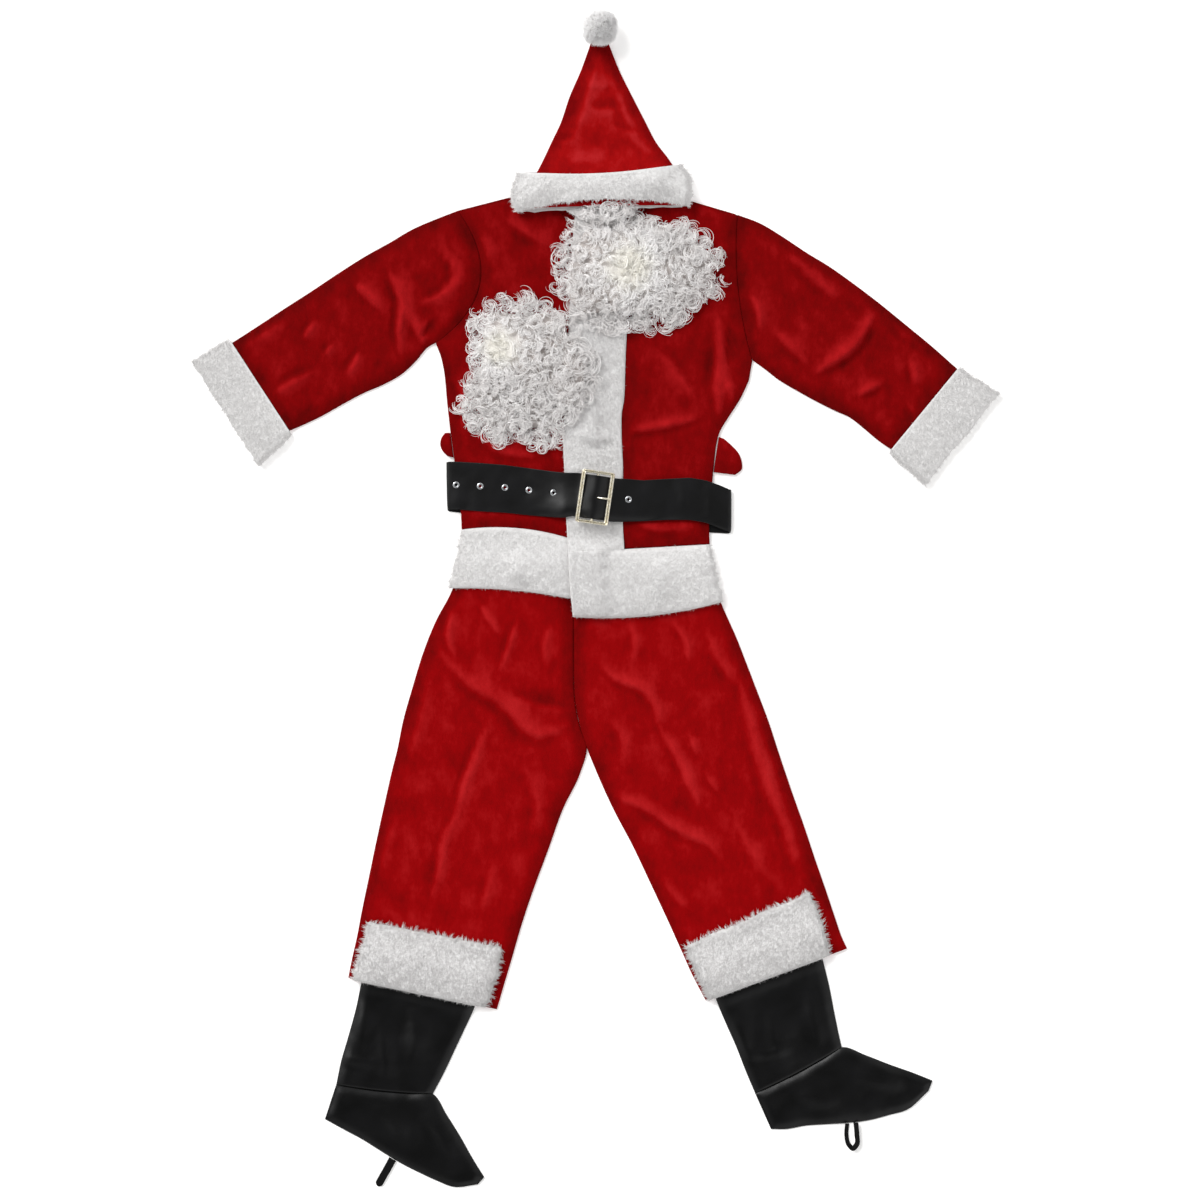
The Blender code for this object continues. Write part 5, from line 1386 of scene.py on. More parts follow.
# ---------------------------------------------------------------- hair
@dataclass
class Hairpiece:
    """Curled locks on a knitted cap.

    Attributes:
        name: The CAD node that it stands for.
        pattern: The cap's plan.
        middle: How high the cap's middle stands.
        outline: How far the curls reach.
        pale: Centre and size of the spot where the cream lining shows through.
        seed: Where the random numbers start.
        locks: How many locks it has.
        fibres: How many strands lie side by side in a lock.
        steps: Stations along a strand.
        width: How wide a strand is.
        inset: How far the cap's rim lies inside the solid's, where loose locks take over.
        ceiling: How high the highest strands may stand.
    """

    name: str
    pattern: Sequence[Section]
    middle: float
    outline: Sequence[tuple[float, float]]
    pale: tuple[float, float, float]
    seed: int
    locks: int = 760
    fibres: int = 7
    steps: int = 13
    width: float = 0.75
    inset: float = 11.0
    ceiling: float = 50.5

    def build(self, shop: Workshop) -> None:
        """Lays the cap and curls the locks."""
        net = pulled_in(cut_from(self.pattern, 6.0), *(self.inset,) * 4)
        under = shop.pile.settle(net, 260)
        i, j = np.meshgrid(*(np.linspace(-1, 1, size) for size in net.shape[:2]), indexing="ij")
        dome = (1 - i**2) * (1 - j**2)
        top = under + 2.0 + (self.middle - 2.0) * dome**0.7
        # the cap's grey finish is painted shade between the locks
        cap = make_wall(self.name + "_cap", at_height(net, top), at_height(net, under), False,
                        shop.finishes["cap"])
        give_attribute(cap, "cream", np.tile(self.paleness(net.reshape(-1, 2)), 2))
        shop.dress(cap, "curls", self.name)
        shop.pile.cover(net, top)
        self.curl(shop, np.maximum(shop.pile.layer, shop.pile.top))

    def curl(self, shop: Workshop, ground: Array) -> None:
        """Draws the locks.

        A lock is a bundle of strands side by side, each an open ring in a tilted plane:
        point = centre + drift t + size (cos angle e1 + sin angle e2), where the size closes a
        little toward the tip and the angle runs over one turn or more. The locks at the rim are
        wide, flat and loose; those inside are small and stand on edge.
        """
        rng = np.random.default_rng(self.seed)
        centre = np.array(self.outline, float).mean(axis=0)
        count = self.locks
        index = np.arange(count) + 0.5
        share = (index / count) ** 0.5
        turn = index * 2.39996 + rng.normal(0, 0.1, count)
        direction = np.stack([np.cos(turn), np.sin(turn)], 1)
        reach = self.to_outline(centre, direction)
        rim = (share > 0.84) & (rng.random(count) < 0.6)
        size = np.where(rim, rng.uniform(6.5, 14.0, count), rng.uniform(2.6, 7.5, count))
        middle = centre + direction * (share * (reach - size * 0.8 - np.where(rim, 0, 8)))[:, None]
        tilt = np.where(rim, rng.uniform(0.05, 0.5, count), rng.uniform(0.2, 1.25, count))
        facing = turn + rng.normal(0, np.where(share < 0.45, 3.0, 1.0), count)
        up = np.stack([np.sin(tilt) * np.cos(facing), np.sin(tilt) * np.sin(facing), np.cos(tilt)], 1)
        first = unit(np.cross(up, rng.normal(0, 1, (count, 3))))
        second = np.cross(up, first)
        winds = np.where(rim, rng.uniform(0.5, 0.95, count), rng.uniform(0.5, 1.3, count))
        winds *= rng.choice([-1, 1], count)
        drift = (np.column_stack([np.cos(facing), np.sin(facing), np.zeros(count)])
                 * rng.uniform(2, 16, (count, 1)))
        pitch = rng.uniform(1.0, 5.0, count)
        phase = rng.uniform(0, 2 * np.pi, count)
        level = shop.pile.read(ground, middle) + 2.0 + rng.uniform(0, 5, count) + size * np.sin(tilt) * 0.4
        level = np.minimum(level, self.ceiling - size * np.sin(tilt))
        t = np.linspace(0, 1, self.steps)
        paths = []
        for fibre in range(self.fibres):
            spread = (fibre - (self.fibres - 1) / 2) / self.fibres
            wide = size * (1 + 0.7 * spread) + rng.normal(0, 1.1, count)
            wide = wide[:, None] * (1 - 0.35 * t) * (0.88 + 0.12 * np.sin(6 * t + phase[:, None]))
            angle = ((phase + rng.normal(0, 0.5, count))[:, None]
                     + (winds * rng.uniform(0.7, 1.3, count))[:, None] * 2 * np.pi * t)
            start = np.column_stack([middle, level]) + rng.normal(0, 1.5, (count, 3))
            paths.append(start[:, None] + drift[:, None] * t[:, None]
                         + first[:, None] * (wide * np.cos(angle))[..., None]
                         + second[:, None] * (wide * np.sin(angle))[..., None]
                         + up[:, None] * (pitch[:, None] * (t - 0.5))[..., None])
        path = np.concatenate(paths)
        low = shop.pile.read(ground, path[..., :2]) + 0.6
        path[..., 2] = np.maximum(path[..., 2], low + 0.4 * np.sin(path[..., 0]))
        taper = self.width * (1 - 0.7 * t**3) * np.minimum(0.5 + t * 5, 1)
        points, quads, normals = ribbons(path, taper, rng)
        piece = make_object(self.name + "_locks", points, quads, shop.finishes["curls"])
        give_attribute(piece, "cream", self.paleness(points))
        tone = np.tile(rng.uniform(-0.7, 0.7, count), self.fibres) + rng.uniform(-0.3, 0.3, len(path))
        give_attribute(piece, "strand", np.repeat(tone, self.steps * 2))
        piece.data.normals_split_custom_set_from_vertices(normals.tolist())
        shop.dress(piece, "curls")

    def paleness(self, points: Array) -> Array:
        """How cream each point is: a bell curve round the matted spot."""
        spot = np.hypot(points[:, 0] - self.pale[0], points[:, 1] - self.pale[1]) / self.pale[2]
        return np.exp(-spot**2)

    def to_outline(self, centre: Array, direction: Array) -> Array:
        """How far the outline lies from the centre in each direction."""
        relative = np.array(self.outline, float) - centre
        angle = np.arctan2(relative[:, 1], relative[:, 0])
        order = np.argsort(angle)
        wanted = np.arctan2(direction[:, 1], direction[:, 0])
        return np.interp(wanted, angle[order], np.hypot(*relative.T)[order], period=2 * np.pi)


# ---------------------------------------------------------------- belt
@dataclass
class Belt:
    """One strap: its end under the buckle, round the back, and its tail through the buckle.

    Attributes:
        thick: Its thickness.
        gap: Air between its layers.
        over_bar: How high its top is over the buckle's underside where it crosses the middle bar.
        under_frame: How far the end's top stays below the buckle's underside.
        clear: How far beyond the buckle's sides the end stays below it.
        doubled_from: How far right of the buckle's middle the front lies on the end.
        flat_width: Its width on the flat cut; not used.
        hole: Radius of an eyelet's hole.
        slot: Size of the prong's slot, in metres.
        slot_at: The slot's middle across the buckle.
        front: The front layer's upper surface, once it is built.
    """

    thick: float = 1.9
    gap: float = 0.35
    over_bar: float = 5.0
    under_frame: float = 0.9
    clear: float = 14.0
    doubled_from: float = 12.0
    flat_width: float = 70.5
    hole: float = 3.1
    slot: tuple[float, float, float] = (0.0125, 0.0042, 0.012)
    slot_at: float = 9.0
    front: Array = field(init=False)

    def build(self, shop: Workshop) -> None:
        """Makes the strap, with its holes punched."""
        pile, buckle_low = shop.pile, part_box("buckle_frame")[0].z / MM
        surface = self.closed(cad_top(pile, "belt_strap"))
        front = BELT_RIGHT + neck_rows(BELT_AT_BUCKLE, BELT_NECK) + BELT_LEFT
        end = neck_rows(BELT_END_AT_BUCKLE, BELT_NECK - 4) + BELT_LEFT
        front = pulled_in(cut_from(front, 6.0, 5.5, smooth=False), 0.3, 0.3)
        end = pulled_in(cut_from(end, 8.0, 5.5, smooth=False), 0.6, 0.6, 0, 0.2)
        front, end, back = self.match(front, end, cut_from(BELT_BACK, 14.0, 5.5, smooth=False))
        below = widened(pile.top)
        end_top = pile.read(surface, end) - self.thick - self.gap
        near = np.abs(end[..., 0] - BUCKLE.x) < BUCKLE.width / 2 + self.clear
        end_top = np.where(near, np.minimum(end_top, buckle_low - self.under_frame), end_top)
        end_top = np.maximum(end_top, pile.read(below, end) + SEAM + self.thick)
        front_top = pile.read(surface, front) + fold_height(front, BELT_FOLDS) * self.flat_at_eyelets(front)
        doubled = np.where(front[..., 0] > BUCKLE.x + self.doubled_from, self.thick + self.gap, 0.0)
        front_top = np.maximum(front_top, pile.read(below, front) + doubled + SEAM + self.thick)
        off_bar = ((front[..., 0] - BUCKLE.x) * np.cos(BUCKLE.tilt)
                   + (front[..., 1] - BUCKLE.y) * np.sin(BUCKLE.tilt))
        front_top = np.maximum(front_top, buckle_low + self.over_bar - (off_bar / 4) ** 2)
        self.front = at_height(front, front_top)
        layers = [(at_height(end, end_top), at_height(end, end_top - self.thick)),
                  (at_height(back, np.full(back.shape[:2], 0.05)),
                   at_height(back, np.full(back.shape[:2], self.thick))),
                  (self.front, at_height(front, front_top - self.thick))]
        rows = [layers[0]]
        for (start, _), layer, sign in zip(layers, layers[1:], (1, -1)):
            rows += [*self.turn(start[-1], layer[0][0], sign), layer]
        outer, inner = (np.concatenate(side) for side in zip(*rows))
        strap = make_wall("belt_strap_vinyl", outer, inner, False, shop.finishes["belt"])
        self.punch(strap, pile, surface, buckle_low)
        shop.dress(strap, "belt", "belt_strap")

    def flat_at_eyelets(self, net: Array) -> Array:
        """How much of the folds' height is left: none round an eyelet, all 12 mm away from it."""
        left = np.ones(net.shape[:2])
        for x, y in EYELETS:
            left *= smooth_step((np.hypot(net[..., 0] - x, net[..., 1] - y) - 5) / 7)
        return left

    def level_at(self, x: float, y: float) -> float:
        """The strap's top at a place, from its four nearest points."""
        points = self.front.reshape(-1, 3)
        away = np.hypot(points[:, 0] - x, points[:, 1] - y) + 0.1
        near = np.argsort(away)[:4]
        return float(np.average(points[near, 2], weights=1 / away[near]))

    def closed(self, raster: Array) -> Array:
        """Fills the strap's holes and rim: the raster spread by 7 cells, then smoothed inside."""
        wide = raster.copy()
        for _ in range(7):
            wide = np.where(raster > 0, raster, widened(wide))
            raster = np.where(raster > 0, raster, wide)
        level = raster.copy()
        for _ in range(12):
            level = np.where(raster > 0, (level * 2 + around(level)) / 6, raster)
        return level

    def match(self, *nets: Array) -> list[Array]:
        """Gives nets the same number of columns, read along each row."""
        share = np.linspace(0, 1, max(net.shape[1] for net in nets))
        made = []
        for net in nets:
            old = np.linspace(0, 1, net.shape[1])
            index = np.clip(np.searchsorted(old, share, side="right") - 1, 0, len(old) - 2)
            t = ((share - old[index]) / (old[index + 1] - old[index]))[None, :, None]
            made.append(net[:, index] * (1 - t) + net[:, index + 1] * t)
        return made

    def turn(self, start: Array, end: Array, sign: int) -> list[tuple[Array, Array]]:
        """Rows round a fold: x swings out by the radius while z goes over in a half circle."""
        middle, radius = (start[:, 2] + end[:, 2]) / 2, (start[:, 2] - end[:, 2]) / 2
        rows = []
        for share in np.arange(1, 9) / 9:
            place = start[:, :2] * (1 - share) + end[:, :2] * share
            swing, over = np.sin(np.pi * share), np.cos(np.pi * share)
            rows.append(tuple(
                np.column_stack([place[:, 0] + sign * np.abs(size) * swing, place[:, 1],
                                 middle + size * over])[None]
                for size in (radius, radius - np.sign(radius) * self.thick)))
        return rows

    def punch(self, strap: Piece, pile: Pile, surface: Array, buckle_low: float) -> None:
        """Cuts the eyelets' holes and the prong's slot out of the strap."""
        work = bmesh.new()
        for x, y in EYELETS:
            top = float(pile.read(surface, np.array([[x, y]], float))[0])
            bmesh.ops.create_cone(work, cap_ends=True, segments=20, radius1=self.hole * MM,
                                  radius2=self.hole * MM, depth=9 * MM,
                                  matrix=Matrix.Translation(Vector((x, y, top)) * MM))
        x, y = in_buckle(np.array([self.slot_at, 0.0]))
        place = (Matrix.Translation(Vector((x, y, buckle_low + 3.5)) * MM)
                 @ Matrix.Rotation(BUCKLE.tilt, 4, "Z"))
        bmesh.ops.create_cube(work, size=1, matrix=place @ Matrix.Diagonal((*self.slot, 1)))
        mesh = bpy.data.meshes.new("belt_punch")
        work.to_mesh(mesh)
        work.free()
        cutter = linked("belt_punch", mesh)
        boolean = strap.modifiers.new("holes", "BOOLEAN")
        boolean.operation = "DIFFERENCE"
        boolean.solver = "EXACT"
        boolean.object = cutter
        bpy.context.view_layer.update()
        made = bpy.data.meshes.new_from_object(strap.evaluated_get(bpy.context.evaluated_depsgraph_get()))
        strap.modifiers.clear()
        strap.data = made
        bpy.data.objects.remove(cutter, do_unlink=True)


@dataclass(frozen=True)
class Eyelet:
    """A turned metal ring on the strap: a rolled flange and a barrel.

    Attributes:
        number: Which eyelet it is, from 1.
        bore: Radius of its opening.
        flange: Radius of its flange.
        sides: Sides of its round.
    """

    number: int
    bore: float = 2.1
    flange: float = 5.0
    sides: int = 40

    def build(self, shop: Workshop, belt: Belt) -> None:
        """Turns the ring's section round its axis; the section is a closed ring of points."""
        low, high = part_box(f"eyelet_{self.number}")
        x, y = (low.x + high.x) / 2 / MM, (low.y + high.y) / 2 / MM
        seat = belt.level_at(x, y) + 0.05
        top, bottom, bore, flange = seat + 1.0, seat - belt.thick - 0.15, self.bore, self.flange
        section = np.array([
            (bore, bottom), (bore + 0.55, bottom), (bore + 0.6, seat), (flange - 0.15, seat),
            (flange, seat + 0.25), (flange - 0.35, seat + 0.6), (flange - 1.1, top - 0.08),
            (bore + 1.1, top), (bore + 0.5, top - 0.15), (bore + 0.08, top - 0.6),
        ])
        turn = circle(self.sides)[:, None]
        points = np.stack([x + section[:, 0] * np.cos(turn), y + section[:, 0] * np.sin(turn),
                           np.tile(section[:, 1], (self.sides, 1))], 2)
        ring = make_object(f"eyelet_{self.number}_ring", *closed_ring(points), shop.finishes["eyelet"])
        shop.dress(ring, "eyelet", f"eyelet_{self.number}")


# The frame's section: share of the way from the outer to the inner edge, and height
BUCKLE_SECTION = (
    (0, 0.3), (0, 1.2), (0.04, 2.2), (0.12, 3.0), (0.2, 3.2), (0.28, 3.0), (0.36, 2.0), (0.43, 0.9),
    (0.57, 0.9), (0.64, 2.0), (0.72, 3.0), (0.8, 3.2), (0.88, 3.0), (0.96, 2.2), (1, 1.2), (1, 0.3),
    (0.9, 0), (0.1, 0),
)


@dataclass(frozen=True)
class Buckle:
    """A frame with two raised ridges, a centre bar, and a prong that reaches over the right bar.

    Attributes:
        corner_out: Radius of the outer corners.
        corner_in: Radius of the inner corners.
        arc: Points round a corner.
        bar_sides: Sides of the centre bar.
        prong_sides: Sides of the prong.
    """

    corner_out: float = 4.0
    corner_in: float = 1.2
    arc: int = 8
    bar_sides: int = 12
    prong_sides: int = 14

    def build(self, shop: Workshop) -> None:
        """Makes frame and prong."""
        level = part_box("buckle_frame")[0].z / MM
        outer = self.rectangle(BUCKLE.width / 2, BUCKLE.height / 2, self.corner_out)
        inner = self.rectangle(BUCKLE.width / 2 - BUCKLE.bar, BUCKLE.height / 2 - BUCKLE.end_bar,
                               self.corner_in)
        section = np.array(BUCKLE_SECTION)
        share = section[:, 0][None, :, None]
        place = in_buckle(outer[:, None] * (1 - share) + inner[:, None] * share)
        points, quads = closed_ring(at_height(place, np.tile(section[:, 1] + level, (len(outer), 1))))
        bar_points, bar_quads = self.bar(level)
        piece = make_object("buckle_frame_metal", np.concatenate([points, bar_points]),
                            np.concatenate([quads, bar_quads + len(points)]), shop.finishes["plated"])
        shop.dress(piece, "plated", "buckle_frame")
        self.prong(shop, level)

    def rectangle(self, half_x: float, half_y: float, corner: float) -> Array:
        """A rounded rectangle: each corner an arc, each side divided into stations."""
        angle = np.linspace(0, np.pi / 2, self.arc)
        points = []
        for quarter, (sx, sy) in enumerate(((1, 1), (-1, 1), (-1, -1), (1, -1))):
            turn = angle + quarter * np.pi / 2
            points.append(np.stack([sx * (half_x - corner) + corner * np.cos(turn),
                                    sy * (half_y - corner) + corner * np.sin(turn)], 1))
        loop = np.concatenate(points)
        share = np.linspace(0, 1, 4)[None, :-1, None]
        return (loop[:, None] * (1 - share) + np.roll(loop, -1, axis=0)[:, None] * share).reshape(-1, 2)

    def bar(self, level: float) -> tuple[Array, Array]:
        """The centre bar, a rounded rod from end bar to end bar, with its ends closed."""
        reach = BUCKLE.height / 2 - BUCKLE.end_bar + 1.0
        along = np.array([-reach, -reach + 0.01, 0, reach - 0.01, reach])
        size = np.array([0.02, 1, 1, 1, 0.02])
        turn = circle(self.bar_sides)
        x = np.cos(turn)[None] * size[:, None] * BUCKLE.centre_bar / 2
        z = level + 1.6 + np.sin(turn)[None] * size[:, None] * 1.4
        y = np.repeat(along[:, None], self.bar_sides, 1)
        points = at_height(in_buckle(np.stack([x, y], -1)), z).reshape(-1, 3)
        number = np.arange(len(points)).reshape(-1, self.bar_sides)
        beside = np.roll(number, -1, axis=1)
        quads = np.stack([number[:-1], beside[:-1], beside[1:], number[1:]], -1).reshape(-1, 4)
        return points, outwards(points, quads)

    def prong(self, shop: Workshop, level: float) -> None:
        """A round pin from the centre bar, up through the slot and onto the outer bar."""
        start = BUCKLE.centre_bar / 2 + 0.6
        bar, wide = BUCKLE.width / 2 - BUCKLE.bar, BUCKLE.bar
        top = BUCKLE.thick + SEAM + 1.4
        stops = np.array([       # across the buckle, height, radius
            (start, 1.6, 0.05), (start + 0.3, 1.7, 1.1), (bar * 0.35, top * 0.5, 1.4),
            (bar * 0.6, top * 0.85, 1.4), (bar, top + 0.15, 1.45), (bar + wide * 0.35, top + 0.3, 1.45),
            (bar + wide * 0.8, top + 0.1, 1.3),
            (bar + wide * 0.92, top - 0.1, 0.9), (bar + wide * 0.94, top - 0.1, 0.05),
        ])
        fine = np.linspace(0, len(stops) - 1, 33)
        line = np.stack([np.interp(fine, np.arange(len(stops)), column) for column in stops.T], 1)
        place = in_buckle(np.column_stack([line[:, 0], np.zeros(len(line))]))
        points, quads = rod(np.column_stack([place, line[:, 1] + level]), line[:, 2],
                            self.prong_sides)
        piece = make_object("buckle_prong_metal", points, quads, shop.finishes["plated"])
        shop.dress(piece, "plated", "buckle_prong")


# ---------------------------------------------------------------- elastics
@dataclass
class ElasticLoop:
    """A boot cover's elastic: a narrow ribbed band carried along a path.

    Attributes:
        name: The CAD node that it stands for.
        path: Points that the band's middle follows.
        across: The band's direction of width.
        width: How wide the band is.
        thick: How thick it is.
        pinched: Whether it narrows to a round tip where it turns back.
        lean: How far the upper edge leans out of the loop.
    """

    name: str
    path: Sequence[tuple[float, float, float]]
    across: tuple[float, float, float]
    width: float
    thick: float = 1.1
    pinched: bool = False
    lean: float = 0.0

    def build(self, shop: Workshop) -> None:
        """Carries a flat section along the path; a pinched tip narrows as a half circle does."""
        line = hermite_line(np.array(self.path, float), 1.0)
        wide = np.full(len(line), self.width)
        if self.pinched:
            away = lengths(line - np.array(self.path[len(self.path) // 2]))
            wide *= rounded(np.clip(2 * away, 0.03 * self.width, None), self.width)
        ahead = unit(np.gradient(line, axis=0))
        outward = np.stack([ahead[:, 1], -ahead[:, 0], np.zeros(len(ahead))], 1)
        sideways = unit(np.array(self.across, float) + self.lean * outward)
        half = unit(np.cross(ahead, sideways))[:, None] * (self.thick / 2)
        share = np.linspace(-0.5, 0.5, 9)
        middle = line[:, None] + sideways[:, None] * (share * wide[:, None])[..., None]
        piece = make_wall(self.name + "_band", middle + half, middle - half, False, shop.finishes["elastic"])
        shop.dress(piece, "elastic", self.name)


ELASTICS = (
    ElasticLoop("boot_elastic_right",
                ((-303.5, -840, 2.6), (-312, -855.5, 2.6), (-321, -871.5, 2.5), (-325.6, -880, 1.6),
                 (-321, -871.5, 0.7), (-312, -855.5, 0.65), (-303.5, -840, 0.65)),
                (-0.876, 0.482, 0.0), 11.5, pinched=True),
    ElasticLoop("boot_elastic_left",
                ((378, -786.2, 4.5), (377, -804, 4.6), (380.5, -818, 4.8), (386.5, -823.5, 4.8),
                 (392.5, -817, 4.8), (392.5, -802, 4.6), (391, -784.5, 4.5)),
                (0.05, 0.05, 1.0), 9.0, lean=0.95),
)


# ---------------------------------------------------------------- finishes
def linear(code: str) -> tuple[float, float, float, float]:
    """Turns an sRGB colour such as #8A0208 into linear light."""
    channels = [int(code[k:k + 2], 16) / 255 for k in (1, 3, 5)]
    return *(c / 12.92 if c <= 0.04045 else ((c + 0.055) / 1.055) ** 2.4 for c in channels), 1.0


class Nodes:
    """A node tree that is being built, with object coordinates at hand."""

    def __init__(self, tree: bpy.types.NodeTree) -> None:
        """Takes over a tree."""
        self.tree = tree
        self.place = self.add("TexCoord", {}, "Object")

    def add(self, kind: str, settings: Settings, output: str | int = 0) -> Socket:
        """Adds a node with its settings and links.

        Args:
            kind: The node's type, without the ShaderNode before it.
            settings: What each input gets, a value or another node's output. A name after a dot is
                the node's own property, and .stops are a ramp's places and sRGB colours.
            output: Which of its outputs is wanted.

        Returns:
            That output.
        """
        made = self.tree.nodes.new("ShaderNode" + kind)
        for name, value in settings.items():
            if name == ".stops":
                elements = made.color_ramp.elements
                while len(elements) < len(value):
                    elements.new(0.5)
                for element, (place, code) in zip(elements, value):
                    element.position = place
                    element.color = linear(code)
            elif str(name).startswith("."):
                setattr(made, name[1:], value)
            elif isinstance(value, Socket):
                self.tree.links.new(value, made.inputs[name])
            else:
                made.inputs[name].default_value = value
        return made.outputs[output]

    def mixed(self, start: Socket | float, *parts: tuple[Socket, float]) -> Socket:
        """A start plus each part's value times its share."""
        for source, share in parts:
            start = self.add("Math", {".operation": "MULTIPLY_ADD", 0: source, 1: share, 2: start})
        return start


@dataclass(frozen=True)
class Surface:
    """Common ground of the finishes: a principled shader. Sizes of patterns are in millimetres."""

    name: str = "surface"

    def build(self) -> Material:
        """Makes the material; each bump lies over the one before it."""
        material = bpy.data.materials.new(self.name)
        material.use_nodes = True
        material.node_tree.nodes.clear()
        nodes = Nodes(material.node_tree)
        settings, bumps = self.paint(nodes)
        normal: Settings = {}
        for height, size in bumps:
            normal = {"Normal": nodes.add("Bump", {"Strength": 1.0, "Distance": size * MM, "Height": height,
                                                   **normal})}
        shader = nodes.add("BsdfPrincipled", {**settings, **normal})
        output = nodes.tree.nodes.new("ShaderNodeOutputMaterial")
        nodes.tree.links.new(shader, output.inputs["Surface"])
        return material

    def paint(self, nodes: Nodes) -> Look:
        """The finish itself.

        Args:
            nodes: The material's nodes.

        Returns:
            The shader's settings, and the bumps with their sizes in millimetres.
        """
        raise NotImplementedError


@dataclass(frozen=True)
class RedVelour(Surface):
    """Knitted polyester velour: a short brushed nap, so it is dull face on and glows at folds, by its sheen
    and by a painted highlight on ridges with painted shade in troughs.
    """

    name: str = "red_velour"
    deep: str = "#540000"
    body: str = "#7A0002"
    light: str = "#AC171B"
    glow: str = "#FF4A42"
    patch: float = 42.0
    streak: float = 6.0
    mottle: float = 16.0
    nap: float = 1.1

    def paint(self, nodes: Nodes) -> Look:
        """The nap: brushed patches, painted fold highlight and shade from the cloth's own fold attribute,
        pile-fine bump.
        """
        brushed = nodes.add("Mapping", {"Vector": nodes.place, "Scale": (1.0, 0.28, 1.0)})
        rubbed = nodes.add("Mapping", {"Vector": nodes.place, "Scale": (1.0, 0.55, 1.0),
                                       "Rotation": (0, 0, 0.5)})
        patches, streaks, mottle, grain = (
            nodes.add("TexNoise", {"Vector": place, "Scale": 1000 / size, "Detail": detail,
                                   "Roughness": rough})
            for place, size, detail, rough in (
                (nodes.place, self.patch, 4, 0.6), (brushed, self.streak, 3, 0.6),
                (rubbed, self.mottle, 5, 0.62), (nodes.place, self.nap, 2, 0.6)))
        # painted light: the fold attribute lightens the colour on ridges and darkens it in troughs
        fold = nodes.add("Attribute", {".attribute_name": "fold"}, "Fac")
        tone = nodes.mixed(0.06, (fold, 0.22), (patches, 0.36), (streaks, 0.08), (mottle, 0.34), (grain, 0.12))
        stops = ((0.28, self.deep), (0.52, self.body), (0.86, self.light))
        return {"Base Color": nodes.add("ValToRGB", {"Fac": tone, ".stops": stops}),
                "Roughness": 0.85, "Specular IOR Level": 0.05, "Sheen Weight": 0.42, "Sheen Roughness": 0.3,
                "Sheen Tint": linear(self.glow)}, ((patches, 0.9), (mottle, 1.1), (grain, 0.3))


@dataclass(frozen=True)
class WhitePlush(Surface):
    """The trim's backing and the roots of its pile: off-white polyester, shadowed between tufts."""

    name: str = "white_plush"
    shadow: str = "#CFCDCC"
    light: str = "#DFDEDD"
    tuft: float = 5.5
    hair: float = 0.9

    def paint(self, nodes: Nodes) -> Look:
        """Tufts as lumps of about a clump's size, hairs as finer ones."""
        tufts = nodes.add("TexNoise", {"Vector": nodes.place, "Scale": 1000 / self.tuft, "Detail": 3,
                                       "Roughness": 0.65})
        hairs = nodes.add("TexNoise", {"Vector": nodes.place, "Scale": 1000 / self.hair, "Detail": 2,
                                       "Roughness": 0.6})
        stops = ((0.3, self.shadow), (0.62, self.light))
        return {"Base Color": nodes.add("ValToRGB", {"Fac": tufts, ".stops": stops}), "Roughness": 0.95,
                "Sheen Weight": 0.3, "Sheen Roughness": 0.5}, ((tufts, 0.8), (hairs, 0.3))


@dataclass(frozen=True)
class PlushFibre(Surface):
    """Standing polyester fibre: darker at the root as painted shade within the pile, paler toward the tip as
    painted light going through it.
    """

    name: str = "plush_fibre"
    root: str = "#D2D0CF"
    middle: str = "#E1DFDE"
    tip: str = "#E9E8E7"

    def paint(self, nodes: Nodes) -> Look:
        """Colour from root to tip, painted shade at the root and painted light at the tip, a little uneven
        from blade to blade.
        """
        rise, shade = (nodes.add("Attribute", {".attribute_name": name}, "Fac") for name in ("rise", "shade"))
        # painted light: stops run from a darker root to a paler tip
        stops = ((0.0, self.root), (0.5, self.middle), (1.0, self.tip))
        along = nodes.mixed(rise, (shade, 0.2))
        return {"Base Color": nodes.add("ValToRGB", {"Fac": along, ".stops": stops}), "Roughness": 0.7,
                "Specular IOR Level": 0.25, "Subsurface Weight": 0.15,
                "Subsurface Radius": (0.004, 0.004, 0.004)}, ()


@dataclass(frozen=True)
class CurlFibre(Surface):
    """Synthetic hair: glossy white monofilament, with a cream cast where it is thickest."""

    name: str = "white_curls"
    grey: str = "#DAD6D4"
    white: str = "#FBF9F8"
    cream: str = "#FAF7EE"

    def paint(self, nodes: Nodes) -> Look:
        """Greyer and whiter locks, cream by the locks' own attribute; glossy along each fibre."""
        strand, cream = (nodes.add("Attribute", {".attribute_name": name}, "Fac")
                         for name in ("strand", "cream"))
        tone = nodes.mixed(0.22, (strand, 0.16), (cream, 0.9))
        stops = ((0.06, self.grey), (0.38, self.white), (0.95, self.cream))
        return {"Base Color": nodes.add("ValToRGB", {"Fac": tone, ".stops": stops}), "Roughness": 0.22,
                "Specular IOR Level": 0.7, "Subsurface Weight": 0.12,
                "Subsurface Radius": (0.003, 0.003, 0.003)}, ()


